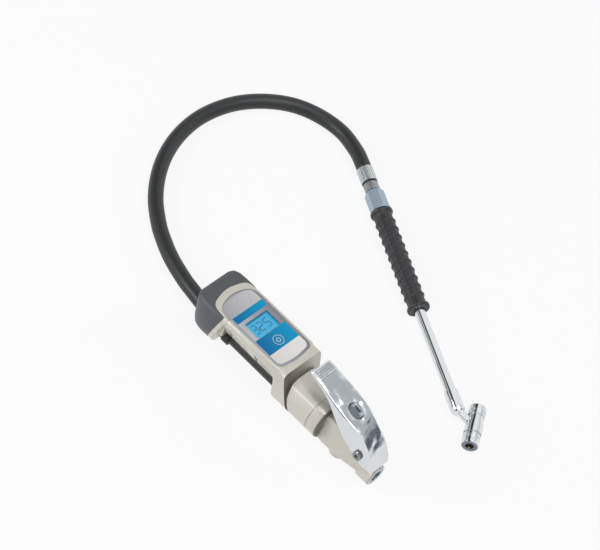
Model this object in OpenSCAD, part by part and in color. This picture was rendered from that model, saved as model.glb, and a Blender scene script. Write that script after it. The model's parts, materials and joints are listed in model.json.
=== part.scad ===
// Hand-held tyre inflator with a digital gauge.
// The origin is the centre of the air inlet's mouth. +X points out of the inlet, +Z is up through
// the gauge face, and +Y points to the side on which the hose loops back to the chuck.

/* [Gauge housing] */
// Height of the gauge face above the airline axis
face_z = 46.5; // [44:0.5:49]
// Half width of the gauge face between its rounded ridges
face_half_w = 24.8; // [24:0.2:26]
// Foremost point of the gauge housing, at the gauge face
housing_front_x = -110.6; // [-112:0.2:-110]
// Place of the full-depth bulkhead's rear side
bulkhead_x = -121; // [-123:0.5:-119]
// Rear flange's front side, at the gauge face
flange_front_x = -183.5; // [-185:0.5:-182]
// Thickness of the rear flange
flange_t = 4.5; // [4:0.5:6]
// Foremost point of the window area's rounded deck at the rear
deck_rear_x = -208; // [-209:0.5:-207]
// Depth of the lengthwise side panels
panel_depth = 1.2; // [0.8:0.1:1.5]
// Wall under the label recess
deck_wall = 2; // [1.5:0.1:2.5]

/* [Rear cap] */
// Rear end of the cap, at the gauge face
cap_rear_x = -224; // [-228:1:-221]
// Gap between the cap and the housing deck it fits round
cap_gap = 0.15; // [0.1:0.05:0.3]
// Half distance between the two cap screws
cap_screw_y = 19; // [18.5:0.5:20]
// Shank radius of the cap screws
cap_screw_r = 1.5; // [1.2:0.1:1.8]

/* [Label and display] */
// Foremost point of the label
label_front_x = -117.2; // [-118:0.2:-117]
// Rearmost point of the label
label_rear_x = -201.2; // [-202:0.2:-200]
// Half width of the label
label_half_w = 21.5; // [20.5:0.1:22]
// Thickness of the label plate
label_t = 0.8; // [0.6:0.1:1]
// Depth of the recess that the label lies in
label_recess = 1; // [0.8:0.1:1.2]
// Centre of the display window
window_x = -162.5; // [-164:0.5:-161]
// Length of the display window
window_l = 18.4; // [16:0.2:20]
// Width of the display window
window_w = 28.4; // [26:0.2:30]
// Centre of the power button
button_x = -142; // [-143:0.5:-141]
// Radius of the power button
button_r = 5.8; // [5:0.1:6.2]
// Travel of the power button
button_travel = 0.5; // [0.4:0.1:0.6]

/* [Electronics] */
// Thickness of the circuit board
pcb_t = 1.6; // [1:0.2:2]
// Height of the circuit board's underside
pcb_z = 36; // [35.5:0.1:36.5]
// Radius of an AAA cell
cell_r = 5.25; // [5:0.05:5.25]
// Length of an AAA cell without its button
cell_l = 43.5; // [43:0.1:44]
// Height of the cells' axes
cell_z = 27.6; // [27.5:0.1:28]
// Radius of the pressure sensor
sensor_r = 5; // [4:0.2:5.4]

/* [Handle and valve body] */
// Radius of the barrel that the hand holds
grip_r = 22; // [21:0.5:22.5]
// Joint between the handle shell and the valve body
seam_x = -74.5; // [-76:0.5:-73]
// Front end of the full barrel, where the scoop begins
scoop_x = -63; // [-64:0.5:-62]
// Width of the shadow groove between housing and handle shell
groove_w = 2.4; // [1.5:0.1:3]
// Depth of the shadow groove
groove_d = 1.4; // [0.8:0.1:1.8]
// Radius of the inlet barrel
inlet_r = 11.2; // [10.8:0.1:11.4]
// Half width of the nose at the lever pivot
nose_half_w = 9.9; // [9.5:0.1:10]
// Height of the nose at the lever pivot
nose_top_z = 27; // [26.5:0.5:28]

/* [Inlet] */
// Bore radius of the G 1/4 inlet thread
thread_r = 5.72; // [5.6:0.01:5.8]
// Length of the inlet thread
thread_l = 12; // [10:0.5:13]
// Outer radius of the inlet bush
bush_r = 8.4; // [8:0.1:9]
// Thickness of the inlet filter disc
filter_t = 2; // [1:0.5:3]

/* [Lever] */
// Pivot's place along the body
pivot_x = -19.5; // [-20:0.1:-19]
// Pivot's height
pivot_z = 21.5; // [21:0.1:22]
// Radius of the pivot screw's shank
pivot_r = 2.5; // [2:0.1:2.8]
// Radius of the pivot screw's head
pivot_head_r = 4.6; // [4.2:0.1:5]
// Thickness of the lever's walls
lever_t = 1.8; // [1.5:0.1:2]
// Largest half width of the lever
lever_half_w = 14.6; // [14.2:0.1:15]
// Travel of the lever in degrees
lever_press = 12; // [8:0.5:12]

/* [Air valve] */
// Valve's place along the body
valve_x = -43; // [-43.5:0.1:-42.5]
// Radius of the valve stem
stem_r = 3; // [2.5:0.1:3.2]
// Running clearance of the stem in its gland
stem_gap = 0.05; // [0.02:0.01:0.09]
// Travel of the stem at the full travel of the lever
stem_travel = 5; // [3:0.1:5]
// Radius of the stem's domed head
stem_head_r = 4.5; // [4:0.1:5]
// Radius of the poppet
poppet_r = 6; // [5.6:0.1:6.4]
// Radius of the hole in the valve seat
seat_r = 4; // [3.8:0.1:4.2]
// Radius of the lower valve chamber
chamber_r = 7.6; // [7.4:0.1:7.8]
// Wire radius of the valve spring
spring_wire_r = 0.6; // [0.4:0.05:0.7]

/* [Hose] */
// Outer radius of the hose
hose_r = 7.5; // [7.2:0.1:7.6]
// Bore radius of the hose
hose_bore_r = 4; // [3.5:0.1:4.2]
// Sides of the free hose's tube
hose_sides = 12; // [8:1:12]
// Radius of the arc with which the hose leaves the cap
hose_arc_r = 184; // [184:1:184]

/* [Wand] */
// Turn of the wand from the body's axis
wand_turn = -28; // [-28:0.5:-28]
// Largest radius of the grip's end flanges, on which the wand rests
grip_flange_r = 11.1; // [10.8:0.1:11.2]
// Radius of the grip between its rings
grip_body_r = 8.9; // [8.6:0.1:9.2]
// Radius of the grip's rings
grip_ring_r = 10.1; // [9.6:0.1:10.4]
// Number of rings on the grip
grip_rings = 10; // [6:1:11]
// Length of the grip
grip_l = 115; // [110:1:120]
// Outer radius of the wand tube
tube_r = 5.25; // [5:0.05:5.4]
// Bore radius of the wand tube
tube_bore_r = 3.6; // [3:0.1:4]
// Length of the tube that shows past the grip
tube_show_l = 95; // [90:1:100]
// Length of the hexagon adaptor
hex_l = 24; // [20:1:26]
// Width across the flats of the hexagon adaptor
hex_af = 17; // [16:0.5:18]
// Radius of the crimped ferrule
ferrule_r = 8.1; // [7.9:0.1:8.4]
// Length of the crimped ferrule
ferrule_l = 15; // [12:0.5:18]

/* [Chuck] */
// Distance from the chuck's centre to each mouth
chuck_half_l = 22; // [21:0.5:23]
// Outer radius of the chuck's end caps
chuck_cap_r = 8.3; // [8:0.1:8.6]
// Radius of the chuck body's waist
chuck_waist_r = 7.3; // [7:0.1:7.6]
// Outer radius of the chuck body's barrel
chuck_barrel_r = 8.7; // [8.5:0.1:8.9]
// Radius of the front mouth that pushes over a tyre valve
mouth_r = 4.1; // [4:0.05:4.2]
// Radius of the rear mouth, wider so that it finds a valve between two wheels
rear_mouth_r = 4.35; // [4.25:0.05:4.45]
// Travel of the depressor pins
pin_travel = 2; // [1:0.1:2]

/* [Hidden] */
$fn = 64;

floor_z = -12;             // the surface that the inflator lies on
fit = 0.05;                // radial gap of pieces that fit into each other
deck_z = face_z - label_recess;
pivot_w = 12.3;            // half width over the lever at its pivot
cap_screw_z = 10;
cap_head_x = -212;         // where the cap screws' heads seat
pocket_front_x = -126;
tie_y = 9.5;               // the two long screws that clamp housing, shell and valve body
tie_z = 26.2;
tie_r = 2;
tie_head_r = 3.4;
tie_head_t = 2.2;
tube_hole_r = 2.3;
rear_lean = -0.23;         // how far the rear joint leans back per millimetre of height lost
front_lean = 0.28;         // the same for the front joint, which leans forward
housing_bottom_z = 18;
wall_mid_y = 20.1;         // a point halfway down the side wall
wall_mid_z = 29;
pocket_floor_z = housing_bottom_z + 3;
flange_mid_z = 22;
barrel_z = face_z - 31;    // height of the held barrel's axis
shell_top_z = face_z - 10.5;
pocket_top_z = deck_z - deck_wall;
pcb_top_z = pcb_z + pcb_t;
sense_z = pcb_z - 10;      // axis of the pressure tube
wand_z = floor_z + grip_flange_r;
wand_at = [-248, 246.7, wand_z];
hose_z = floor_z + hose_r; // height of the hose's axis where it lies on the surface
hose_turn = 4.5;           // degrees the hose turns before it leaves the cap
hose_arc_x = -200;         // where that arc begins
hose_end_x = hose_arc_x - hose_arc_r * sin(hose_turn);
hose_end_y = hose_arc_r * (1 - cos(hose_turn));
hose_stub = 1;             // straight end past the arc

satin = "#c9c3b8";
chrome = "#d9dce0";
zinc = "#a9bcc9";
dark_moulding = "#55585a";
rubber = "#2f3033";
brass = "#c2a35a";

// ---- outlines and lofts ----

function unit(v) = v / norm(v);

// Quarter turn from a to b round the corner p, in n steps
function bend(a, p, b, n) =
    [for (i = [0:n]) let (t = i / n) (1 - t) * (1 - t) * a + 2 * t * (1 - t) * p + t * t * b];

// Closed outline through corners [u, v, blend], each corner rounded over its blend length
function rounded(corners, n = 3) =
    let (count = len(corners))
    [for (i = [0:count - 1])
        let (
            p = [corners[i][0], corners[i][1]],
            before = corners[(i + count - 1) % count],
            after = corners[(i + 1) % count],
            to_before = norm([before[0], before[1]] - p),
            to_after = norm([after[0], after[1]] - p),
            r = min(corners[i][2], 0.45 * to_before, 0.45 * to_after))
        each bend(p + r * unit([before[0], before[1]] - p), p, p + r * unit([after[0], after[1]] - p), n)];

// Adds the mirror image of a half outline that starts at the top
function both_sides(half) =
    concat(half, [for (i = [len(half) - 1:-1:0]) [-half[i][0], half[i][1], half[i][2]]]);

// One ring of a loft: the outline [y, z] stands at x and leans by lean per millimetre below the face
function ring(x, lean, outline) = [for (p = outline) [x + lean * (face_z - p[1]), p[0], p[1]]];

function side_faces(rings, n) = concat(
    [for (i = [0:rings - 2], j = [0:n - 1]) [i * n + j, i * n + (j + 1) % n, (i + 1) * n + j]],
    [for (i = [0:rings - 2], j = [0:n - 1])
        [i * n + (j + 1) % n, (i + 1) * n + (j + 1) % n, (i + 1) * n + j]]);

function ring_faces(rings, n) = concat(
    side_faces(rings, n),
    [[for (j = [n - 1:-1:0]) j]],
    [[for (j = [0:n - 1]) (rings - 1) * n + j]]);

// Skin over rings that run from low X to high X, each ring clockwise seen from high X
module loft(rings) {
    n = len(rings[0]);
    polyhedron(points = [for (r = rings) each r], faces = ring_faces(len(rings), n), convexity = 8);
}

// Cylinder along X from x0 to x1
module x_rod(x0, x1, r, y = 0, z = 0) {
    translate([x0, y, z]) rotate([0, 90, 0]) cylinder(h = x1 - x0, r = r);
}

// Cylinder along Y from y0 to y1
module y_rod(y0, y1, r, x, z) {
    translate([x, y1, z]) rotate([90, 0, 0]) cylinder(h = y1 - y0, r = r);
}

// Cylinder along Z from z0 to z1
module z_rod(z0, z1, r, x, y = 0) {
    translate([x, y, z0]) cylinder(h = z1 - z0, r = r);
}

// Prism along X from an outline in [y, z]
module x_prism(x0, x1, outline) {
    translate([x0, 0, 0]) rotate([90, 0, 90]) linear_extrude(x1 - x0) polygon(outline);
}

// Prism along Z from an outline in [x, y]
module z_prism(z0, z1, outline) {
    translate([0, 0, z0]) linear_extrude(z1 - z0) polygon(outline);
}

// ---- sections of the body, each half outline from the top down ----

// Narrow waist over the hose
function waist_half() = [
    [face_half_w, face_z, 4], [face_half_w + 0.6, face_z - 7, 3], [wall_mid_y, wall_mid_z, 3],
    [15.6, housing_bottom_z + 2, 2], [13, housing_bottom_z, 1.5], [5, housing_bottom_z, 1]];

// Full-depth bulkhead, which matches the held barrel below the face
function bulkhead_half() = [
    [face_half_w - 0.4, face_z, 4.5], [face_half_w - 0.4, face_z - 12, 5], [grip_r + 0.6, barrel_z + 3, 5],
    [grip_r - 1.4, barrel_z - 10, 5], [grip_r - 7.5, barrel_z - 18.5, 4], [5.5, barrel_z - grip_r, 4]];

// Held barrel with its flattened crown and shoulder edges
function barrel_half(trim = 0) = [
    [9, shell_top_z - trim, 5], [grip_r * 0.74 - trim, shell_top_z - 2.6 - trim, 1.6],
    [grip_r + 0.3 - trim, barrel_z + 7, 6],
    [grip_r - 0.6 - trim, barrel_z - 7.5, 6], [grip_r - 7 - trim, barrel_z - 18 + trim, 5],
    [5.5, barrel_z - grip_r + trim, 4]];

// Flange and cap section: straight shoulders, fullest at a third of the height
function rear_half(top_w, top_z, mid_w, low_w) = [
    [top_w, top_z, 5], [mid_w, flange_mid_z + 8, 6], [mid_w - 0.5, flange_mid_z - 9, 7],
    [low_w, floor_z + 5, 5], [low_w - 5, floor_z, 2], [0.8, floor_z, 0.3]];

function outline(half, n = 3) = rounded(both_sides(half), n);

// Plan outline of the deck whose rear end is an arch, grown by g
function deck_outline(g) = rounded([
    [flange_front_x - 1, face_half_w - 1.4 + g, 0.5], [-190, face_half_w - 1.4 + g, 3],
    [deck_rear_x + 3.5 - g, 22 + g, 11], [deck_rear_x - 2.8 - g, 0, 15],
    [deck_rear_x + 3.5 - g, -22 - g, 11], [-190, -face_half_w + 1.4 - g, 3],
    [flange_front_x - 1, -face_half_w + 1.4 - g, 0.5]], 5);

// Plan outline of the label, shrunk by s
function label_outline(s) = rounded([
    [label_front_x - 2.4 - s, label_half_w - s, 6], [label_front_x + 0.6 - s, 0, 14],
    [label_front_x - 2.4 - s, -label_half_w + s, 6],
    [label_rear_x + 4 + s, -label_half_w + s, 11], [label_rear_x - 2.6 + s, 0, 15],
    [label_rear_x + 4 + s, label_half_w - s, 11]], 5);

pocket_outline = [
    [19.5, pocket_top_z], [19.5, pcb_z], [17.6, pcb_z], [15, 25], [12.2, pocket_floor_z],
    [-12.2, pocket_floor_z], [-15, 25], [-17.6, pcb_z],
    [-19.5, pcb_z], [-19.5, pocket_top_z]];

// ---- gauge housing ----

module housing_skin() {
    loft([
        ring(flange_front_x - flange_t, rear_lean, outline(rear_half(face_half_w, face_z, 28, 14.5))),
        ring(flange_front_x - 0.8, rear_lean, outline(rear_half(face_half_w, face_z, 28, 14.5))),
        ring(flange_front_x, rear_lean, outline(rear_half(face_half_w - 0.1, face_z, 27.2, 13.8))),
        ring(flange_front_x + 0.1, rear_lean, outline(waist_half())),
        ring(-166, -0.1, outline(waist_half())),
        ring(-140, 0, outline(waist_half())),
        ring(bulkhead_x - 1.5, 0, outline(waist_half())),
        ring(bulkhead_x + 1.5, 0.03, outline(bulkhead_half())),
        ring(housing_front_x - 3, front_lean - 0.06, outline(bulkhead_half())),
        ring(housing_front_x, front_lean, outline(bulkhead_half()))]);
}

// Shallow lengthwise panel sunk into the side wall at +Y
module side_panel(x0, x1) {
    wall_turn = atan2(9.8, 19.5);
    translate([0, wall_mid_y, wall_mid_z]) rotate([-wall_turn, 0, 0])
        translate([x0, -panel_depth, -10.5]) cube([x1 - x0, 8, 20.5]);
}

module gauge_housing() {
    color(satin) difference() {
        union() {
            housing_skin();
            z_prism(20, face_z, deck_outline(0));
        }
        side_panel(-180, -156);
        side_panel(-147, -125);
        mirror([0, 1, 0]) side_panel(-180, -156);
        mirror([0, 1, 0]) side_panel(-147, -125);
        z_prism(deck_z, face_z + 1, label_outline(-0.2));
        x_prism(-230, pocket_front_x, pocket_outline);
        translate([window_x - window_l / 2 - 0.3, -window_w / 2 - 0.3, pocket_top_z - 1])
            cube([window_l + 0.6, window_w + 0.6, deck_wall + 2]);
        z_rod(pocket_top_z - 1, deck_z + 1, button_r + fit + 0.03, button_x);
        x_rod(-240, -90, hose_r + 0.3);
        x_rod(-240, -190, hose_r + 1.35);
        x_rod(-191.3, -184.2, 10.1);
        x_rod(pocket_front_x - 1, -100, tube_hole_r, 0, sense_z);
        for (side = [-1, 1]) {
            x_rod(-200, -192.4, cap_screw_r + fit, side * cap_screw_y, cap_screw_z);
            x_rod(pocket_front_x - 1, -95, tie_r + fit, side * tie_y, tie_z);
            x_rod(pocket_front_x - tie_head_t - 0.5, pocket_front_x, tie_head_r + 0.3, side * tie_y, tie_z);
        }
    }
}

// ---- rear cap ----

module cap_skin() {
    loft([
        ring(cap_rear_x - 0.6, 0.14, outline(rear_half(16, face_z - 6.5, 14.5, 8))),
        ring(cap_rear_x, 0.13, outline(rear_half(20.8, face_z - 3, 19.2, 10))),
        ring(cap_rear_x + 2.6, 0.1, outline(rear_half(24, face_z - 1.4, 23.4, 12.4))),
        ring(cap_rear_x + 8, 0.03, outline(rear_half(25.7, face_z - 0.7, 26.4, 14.2))),
        ring(cap_rear_x + 16, -0.07, outline(rear_half(26, face_z - 0.6, 28.2, 14.8))),
        ring(cap_rear_x + 25, -0.16, outline(rear_half(26, face_z - 0.6, 28.9, 15))),
        ring(flange_front_x - flange_t - cap_gap, rear_lean,
            outline(rear_half(face_half_w - 0.2, face_z - 0.6, 28, 14.5)))]);
}

module rear_cap() {
    color(dark_moulding) difference() {
        cap_skin();
        z_prism(20 - cap_gap, face_z + 1, deck_outline(cap_gap));
        x_prism(-212.5, -150, [[14.5, 27], [14.5, 12], [11, floor_z + 2.5], [-11, floor_z + 2.5],
            [-14.5, 12], [-14.5, 27]]);
        translate([hose_end_x, hose_end_y, 0]) rotate([0, 0, -hose_turn])
            x_rod(-30, 16, hose_r + 0.6);
        for (side = [-1, 1]) {
            x_rod(-240, -150, cap_screw_r + fit, side * cap_screw_y, cap_screw_z);
            x_rod(-260, cap_head_x, 3.2, side * cap_screw_y, cap_screw_z);
        }
    }
}

module cap_screws() {
    color(zinc) for (side = [-1, 1]) difference() {
        union() {
            x_rod(cap_head_x, -192.6, cap_screw_r, side * cap_screw_y, cap_screw_z);
            x_rod(cap_head_x - 2.4, cap_head_x, 2.9, side * cap_screw_y, cap_screw_z);
        }
        translate([cap_head_x - 3, side * cap_screw_y - 0.4, cap_screw_z - 2]) cube([1.4, 0.8, 4]);
        translate([cap_head_x - 3, side * cap_screw_y - 2, cap_screw_z - 0.4]) cube([1.4, 4, 0.8]);
    }
}

// ---- label, display and button ----

module label_plate() {
    color("#8d9196") difference() {
        z_prism(deck_z, deck_z + label_t, label_outline(0));
        translate([window_x - window_l / 2, -window_w / 2, deck_z - 1])
            cube([window_l, window_w, label_t + 2]);
        z_rod(deck_z - 1, face_z + 1, button_r + fit + 0.1, button_x);
    }
}

module display_window() {
    color("#bfe6f5") {
        translate([window_x - window_l / 2 + fit, -window_w / 2 + fit, deck_z - 1])
            cube([window_l - 2 * fit, window_w - 2 * fit, label_t + 0.9]);
        translate([window_x - window_l / 2 - 0.2, -window_w / 2 - 0.2, pocket_top_z + 0.2])
            cube([window_l + 0.4, window_w + 0.4, deck_wall - 0.3]);
    }
}

module display_module() {
    color("#18a6d8")
        translate([window_x - window_l / 2 - 1.6, -window_w / 2 - 1.8, pcb_top_z])
            cube([window_l + 3.2, window_w + 3.6, pocket_top_z - 0.1 - pcb_top_z]);
}

module circuit_board() {
    color("#2d6b3f") difference() {
        translate([-199, -19.2, pcb_z]) cube([72, 38.4, pcb_t]);
        for (side = [-1, 1]) z_rod(pcb_z - 1, pcb_top_z + 1, 1.6, -196, side * 16);
        z_rod(pcb_z - 1, pcb_top_z + 1, 1.6, -129.5, 16);
    }
}

module tact_switch() {
    color("#3a3c3f") {
        translate([button_x - 3, -3, pcb_top_z]) cube([6, 6, 2]);
        z_rod(pcb_top_z + 2, pocket_top_z - 1.5 - button_travel - 0.3, 1.7, button_x);
    }
}

module power_button() {
    color("#0090c0") {
        z_rod(pocket_top_z - 1.5, deck_z + label_t, button_r, button_x);
        z_rod(pocket_top_z - 1.5, pocket_top_z - 0.3, button_r + 1, button_x);
    }
}

// ---- battery bay ----

cell_rear_x = -193.9;

module battery_tray() {
    color(rubber) difference() {
        x_prism(cell_rear_x - 2.1, cell_rear_x + cell_l + 3.4, [[11, pocket_floor_z + fit],
            [12.4, cell_z - 0.6], [-12.4, cell_z - 0.6], [-11, pocket_floor_z + fit]]);
        for (side = [-1, 1])
            x_rod(cell_rear_x - 0.6, cell_rear_x + cell_l + 1.9, cell_r + fit, side * (cell_r + 0.4), cell_z);
    }
}

module batteries() {
    color("#3f6fa0") for (side = [-1, 1]) {
        x_rod(cell_rear_x, cell_rear_x + cell_l, cell_r, side * (cell_r + 0.4), cell_z);
        x_rod(cell_rear_x + cell_l, cell_rear_x + cell_l + 0.8, 1.9, side * (cell_r + 0.4), cell_z);
    }
}

module battery_contacts() {
    color(zinc) for (side = [-1, 1], x = [cell_rear_x - 0.5, cell_rear_x + cell_l + 1.4])
        translate([x, side * (cell_r + 0.4) - 3.6, cell_z - 1.5]) cube([0.4, 7.2, 7]);
}

// ---- pressure sensing ----

module pressure_sensor() {
    color("#b9bdc2") {
        z_rod(sense_z - 2.5, pcb_z, sensor_r, -134);
        x_rod(-134, -123, 1.5, 0, sense_z);
    }
}

module pressure_tube() {
    color("#e8e4da") difference() {
        x_rod(-128.5, seam_x + 5, tube_hole_r - 0.1, 0, sense_z);
        x_rod(-129, seam_x + 6, 1.55, 0, sense_z);
    }
}

// ---- handle shell ----

module handle_shell() {
    color(satin) difference() {
        loft([
            ring(housing_front_x, front_lean, outline(barrel_half(groove_d))),
            ring(housing_front_x + groove_w, front_lean, outline(barrel_half(groove_d))),
            ring(housing_front_x + groove_w + 0.5, front_lean, outline(barrel_half(0))),
            ring(-95, 0.12, outline(barrel_half(0))),
            ring(-84, 0, outline(barrel_half(0))),
            ring(seam_x - 0.1, 0, outline(barrel_half(0)))]);
        x_rod(-115, -60, 8.95);
        x_rod(-115, -60, tube_hole_r, 0, sense_z);
        for (side = [-1, 1]) x_rod(-118, -60, tie_r + fit, side * tie_y, tie_z);
    }
}

// ---- valve body ----

// Nose section: a narrow block on a wider round-bottomed base
function nose_half(w, top_w, top_z, low, bevel) = [
    [5, top_z, 1.5], [top_w, top_z - 0.5, 2.2], [top_w + 0.2, 11, 4], [w, 1, 4],
    [w - 1, -low + 6.2, 3.5], [w - bevel, -low, 3.2]];

// The same ring sunk back by depth except at the bottom, so a scoop is left behind the barrel's rim
function sunk_ring(x, depth, outline) =
    [for (p = outline) [x - depth * min(1, max(0, (p[1] + 2) / 12)), p[0], p[1]]];

module valve_body_skin() {
    loft([
        ring(seam_x, 0, outline(barrel_half(0))),
        ring(scoop_x - 1, 0, outline(barrel_half(0))),
        ring(scoop_x + 0.4, 0, outline(barrel_half(0.5))),
        ring(scoop_x + 1.2, 0, outline(barrel_half(1.8))),
        sunk_ring(scoop_x + 1.3, 2.6, outline(nose_half(14.6, 12, 31, 6.8, 8))),
        ring(scoop_x + 6, 0, outline(nose_half(14, 11, 30.5, 9.6, 8.4))),
        ring(valve_x, 0, outline(nose_half(13.6, 10.4, 29.5, 9.6, 8))),
        ring(-31, 0, outline(nose_half(12.6, nose_half_w, 28.5, 9.5, 7.5))),
        ring(-20, 0, outline(nose_half(11, nose_half_w, nose_top_z, 9, 6.6))),
        ring(-12.5, 0, outline(nose_half(10.4, nose_half_w - 0.4, nose_top_z - 4, 8.6, 6.2))),
        ring(-7, 0, outline(nose_half(9.6, 7.5, 12.5, 8.2, 6)))]);
}

module valve_body() {
    color(satin) difference() {
        union() {
            valve_body_skin();
            x_rod(-15, -0.8, inlet_r);
            x_rod(-0.9, 0, inlet_r - 0.7);
            z_rod(0, 33, 8, valve_x);
            z_rod(floor_z + 1.2, 0, 10, valve_x);
        }
        x_rod(-thread_l - 3, 1, bush_r + fit);
        x_rod(valve_x, -thread_l - 2, 4.2);
        z_rod(floor_z, -5, chamber_r + 0.9, valve_x);
        z_rod(-6, 3, chamber_r, valve_x);
        z_rod(2, 8, seat_r, valve_x);
        z_rod(7, 24, stem_r + 2.4, valve_x);
        z_rod(23, 34, 6 + fit, valve_x);
        x_rod(-62.8, valve_x, 2.4, 0, 13);
        z_rod(0, sense_z, 1.8, -62.8);
        x_rod(seam_x - 1, -62.8, 1.3, 0, sense_z);
        x_rod(seam_x - 1, -64.5, 6.6 + fit);
        x_rod(-66, -60.6, 4);
        x_rod(seam_x - 1, -69, tube_hole_r, 0, sense_z);
        y_rod(-20, 20, pivot_r + fit, pivot_x, pivot_z);
        for (side = [-1, 1]) x_rod(seam_x - 1, -66, 1.6, side * tie_y, tie_z);
    }
}

module tie_screws() {
    color(zinc) for (side = [-1, 1]) difference() {
        union() {
            x_rod(pocket_front_x, seam_x - 0.5, tie_r, side * tie_y, tie_z);
            x_rod(seam_x - 0.6, -66.5, 1.6 - fit, side * tie_y, tie_z);
            x_rod(pocket_front_x - tie_head_t, pocket_front_x, tie_head_r, side * tie_y, tie_z);
        }
        translate([pocket_front_x - 3, side * tie_y, tie_z]) rotate([0, 90, 0])
            cylinder(h = 2, r = 1.7, $fn = 6);
    }
}

module inlet_bush() {
    color(zinc) difference() {
        x_rod(-thread_l - 1, 0, bush_r);
        x_rod(-thread_l, 1, thread_r);
        x_rod(-thread_l - 2, 0, 3.2);
    }
}

module inlet_filter() {
    color(brass) difference() {
        x_rod(-thread_l - 3, -thread_l - 1 - fit, 7.6);
        for (a = [0:60:300]) x_rod(-thread_l - 4, -thread_l, 0.7, 2.2 * cos(a), 2.2 * sin(a));
    }
}

// ---- lever ----

// Stations of the lever: x, top height, side plate's lower edge, half width, drop of the inner top
lever_stations = [
    [-94, 62.8, 60.4, 11.6, 1], [-93, 62.9, 59.9, 12, 1], [-84, 61.1, 58.6, 12.6, 1],
    [-74, 58.9, 55.6, 13.4, 1], [-65, 56.7, 51.4, 14.2, 1], [-57, 54.6, 43.8, lever_half_w, 1],
    [-49, 52.6, 36.4, lever_half_w, 1], [-40, 50.2, 28.6, 14.3, 1.05], [-31, 46.9, 21.8, 13.3, 1.12],
    [-25, 43.9, 17.4, pivot_w, 1.25], [-14, 36.2, 12.3, pivot_w - 0.1, 1.45],
    [-9.5, 31.8, 11.9, 11.8, 1.6], [-5.5, 27.2, 12.2, 11.2, 1.9], [-2.2, 21.8, 12.7, 10.8, 2.4],
    [-0.5, 17, 13.2, 10.2, 2.4]];

fold_r = 2;

// U-shaped section of the lever, open below, as one closed ring
function lever_ring(s) =
    let (
        x = s[0], top = s[1], low = s[2], w = s[3], roof = lever_t * s[4],
        r = min(fold_r, (top - low) * 0.6), inner = max(top - roof, low + 0.6),
        q = min(1, (inner - low) * 0.8), wi = w - lever_t)
    concat(
        [[x, wi, low]], [[x, wi, inner - q * 0.5]], [[x, wi - q, inner]],
        [[x, -wi + q, inner]], [[x, -wi, inner - q * 0.5]], [[x, -wi, low]],
        [[x, -w, low]], [for (p = bend([-w, top - r], [-w, top], [-w + r, top], 3)) [x, p[0], p[1]]],
        [for (p = bend([w - r, top], [w, top], [w, top - r], 3)) [x, p[0], p[1]]], [[x, w, low]]);

// End face of the U-shaped section, as triangles between its inner and outer side
lever_end = [
    [4, 5, 6], [4, 6, 7], [4, 7, 8], [3, 4, 8], [3, 8, 9], [3, 9, 10], [2, 3, 10], [2, 10, 11], [2, 11, 12],
    [1, 2, 12], [1, 12, 13], [1, 13, 14], [0, 1, 14], [0, 14, 15]];

module lever_channel() {
    rings = [for (s = lever_stations) lever_ring(s)];
    last = (len(rings) - 1) * 16;
    polyhedron(
        points = [for (k = rings) each k],
        faces = concat(side_faces(len(rings), 16), [for (t = lever_end) [t[2], t[1], t[0]]],
            [for (t = lever_end) [last + t[0], last + t[1], last + t[2]]]),
        convexity = 8);
}

dimple_x = valve_x - 1.5;
dimple_z = 51.6;
dimple_lean = 15;          // slope of the lever's top at the dimple, in degrees
nub_x = valve_x + 2.2;     // the nub under the dimple that pushes the stem
nub_r = 3;
pad_z = pivot_z + 22.4;    // lowest point of that nub

// Oval dish at the dimple: across is its radius, stretched along the lever
module dish(across, stretch, depth, top) {
    hull() for (side = [-1, 1])
        translate([side * stretch, 0, 0]) rotate_extrude($fn = 24) polygon([
            [0, -depth], [across * 0.55, -depth], [across * 0.85, -depth * 0.62], [across, -0.1],
            [across, top], [0, top]]);
}

module lever() {
    color(chrome) difference() {
        union() {
            lever_channel();
            translate([dimple_x, 0, dimple_z]) rotate([0, dimple_lean, 0]) translate([0, 0, -0.8])
                dish(7.8, 2, 4.9, 0.1);
            y_rod(-2.6, 2.6, nub_r, nub_x, pad_z + nub_r);
        }
        translate([dimple_x, 0, dimple_z]) rotate([0, dimple_lean, 0]) dish(6.6, 2, 4.4, 2);
        for (i = [0:4])
            translate([-91.8 + i * 2.2, 0, 62.85 - i * 0.44]) rotate([90, 0, 0])
                cylinder(h = 19, r = 0.55, center = true, $fn = 8);
        y_rod(-20, 20, pivot_r + fit, pivot_x, pivot_z);
    }
}

module lever_pivot_screw() {
    color(zinc) difference() {
        union() {
            y_rod(-pivot_w - 0.3, pivot_w + 3.6, pivot_r, pivot_x, pivot_z);
            y_rod(-pivot_w - 2.5, -pivot_w - 0.3, pivot_head_r, pivot_x, pivot_z);
        }
        translate([pivot_x, -pivot_w - 1.1, pivot_z]) rotate([90, 0, 0]) cylinder(h = 3, r = 2.3, $fn = 6);
    }
}

module lever_pivot_nut() {
    color(zinc) difference() {
        translate([pivot_x, pivot_w + 0.3, pivot_z]) rotate([-90, 0, 0]) cylinder(h = 3, r = 4.6, $fn = 6);
        y_rod(0, 30, pivot_r + 0.02, pivot_x, pivot_z);
    }
}

// ---- air valve ----

stem_top_z = pad_z - 0.35;

module valve_stem() {
    color(chrome) {
        z_rod(3.2, stem_top_z - 3.4, stem_r, valve_x);
        z_rod(stem_top_z - 3.5, stem_top_z - 0.8, stem_head_r, valve_x);
        translate([valve_x, 0, stem_top_z - 0.8]) cylinder(h = 0.8, r1 = stem_head_r, r2 = stem_head_r - 0.9);
    }
}

module stem_gland() {
    color(brass) difference() {
        union() {
            z_rod(23.1, 33.1, 6, valve_x);
            translate([valve_x, 0, 33])
                cylinder(h = stem_top_z - 3.5 - stem_travel - 0.3 - 33, r = 7, $fn = 6);
        }
        z_rod(20, 40, stem_r + stem_gap, valve_x);
    }
}

module stem_seal() {
    color(rubber) difference() {
        z_rod(20.6, 23, stem_r + 2.3, valve_x);
        z_rod(20, 24, stem_r + stem_gap, valve_x);
    }
}

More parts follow.
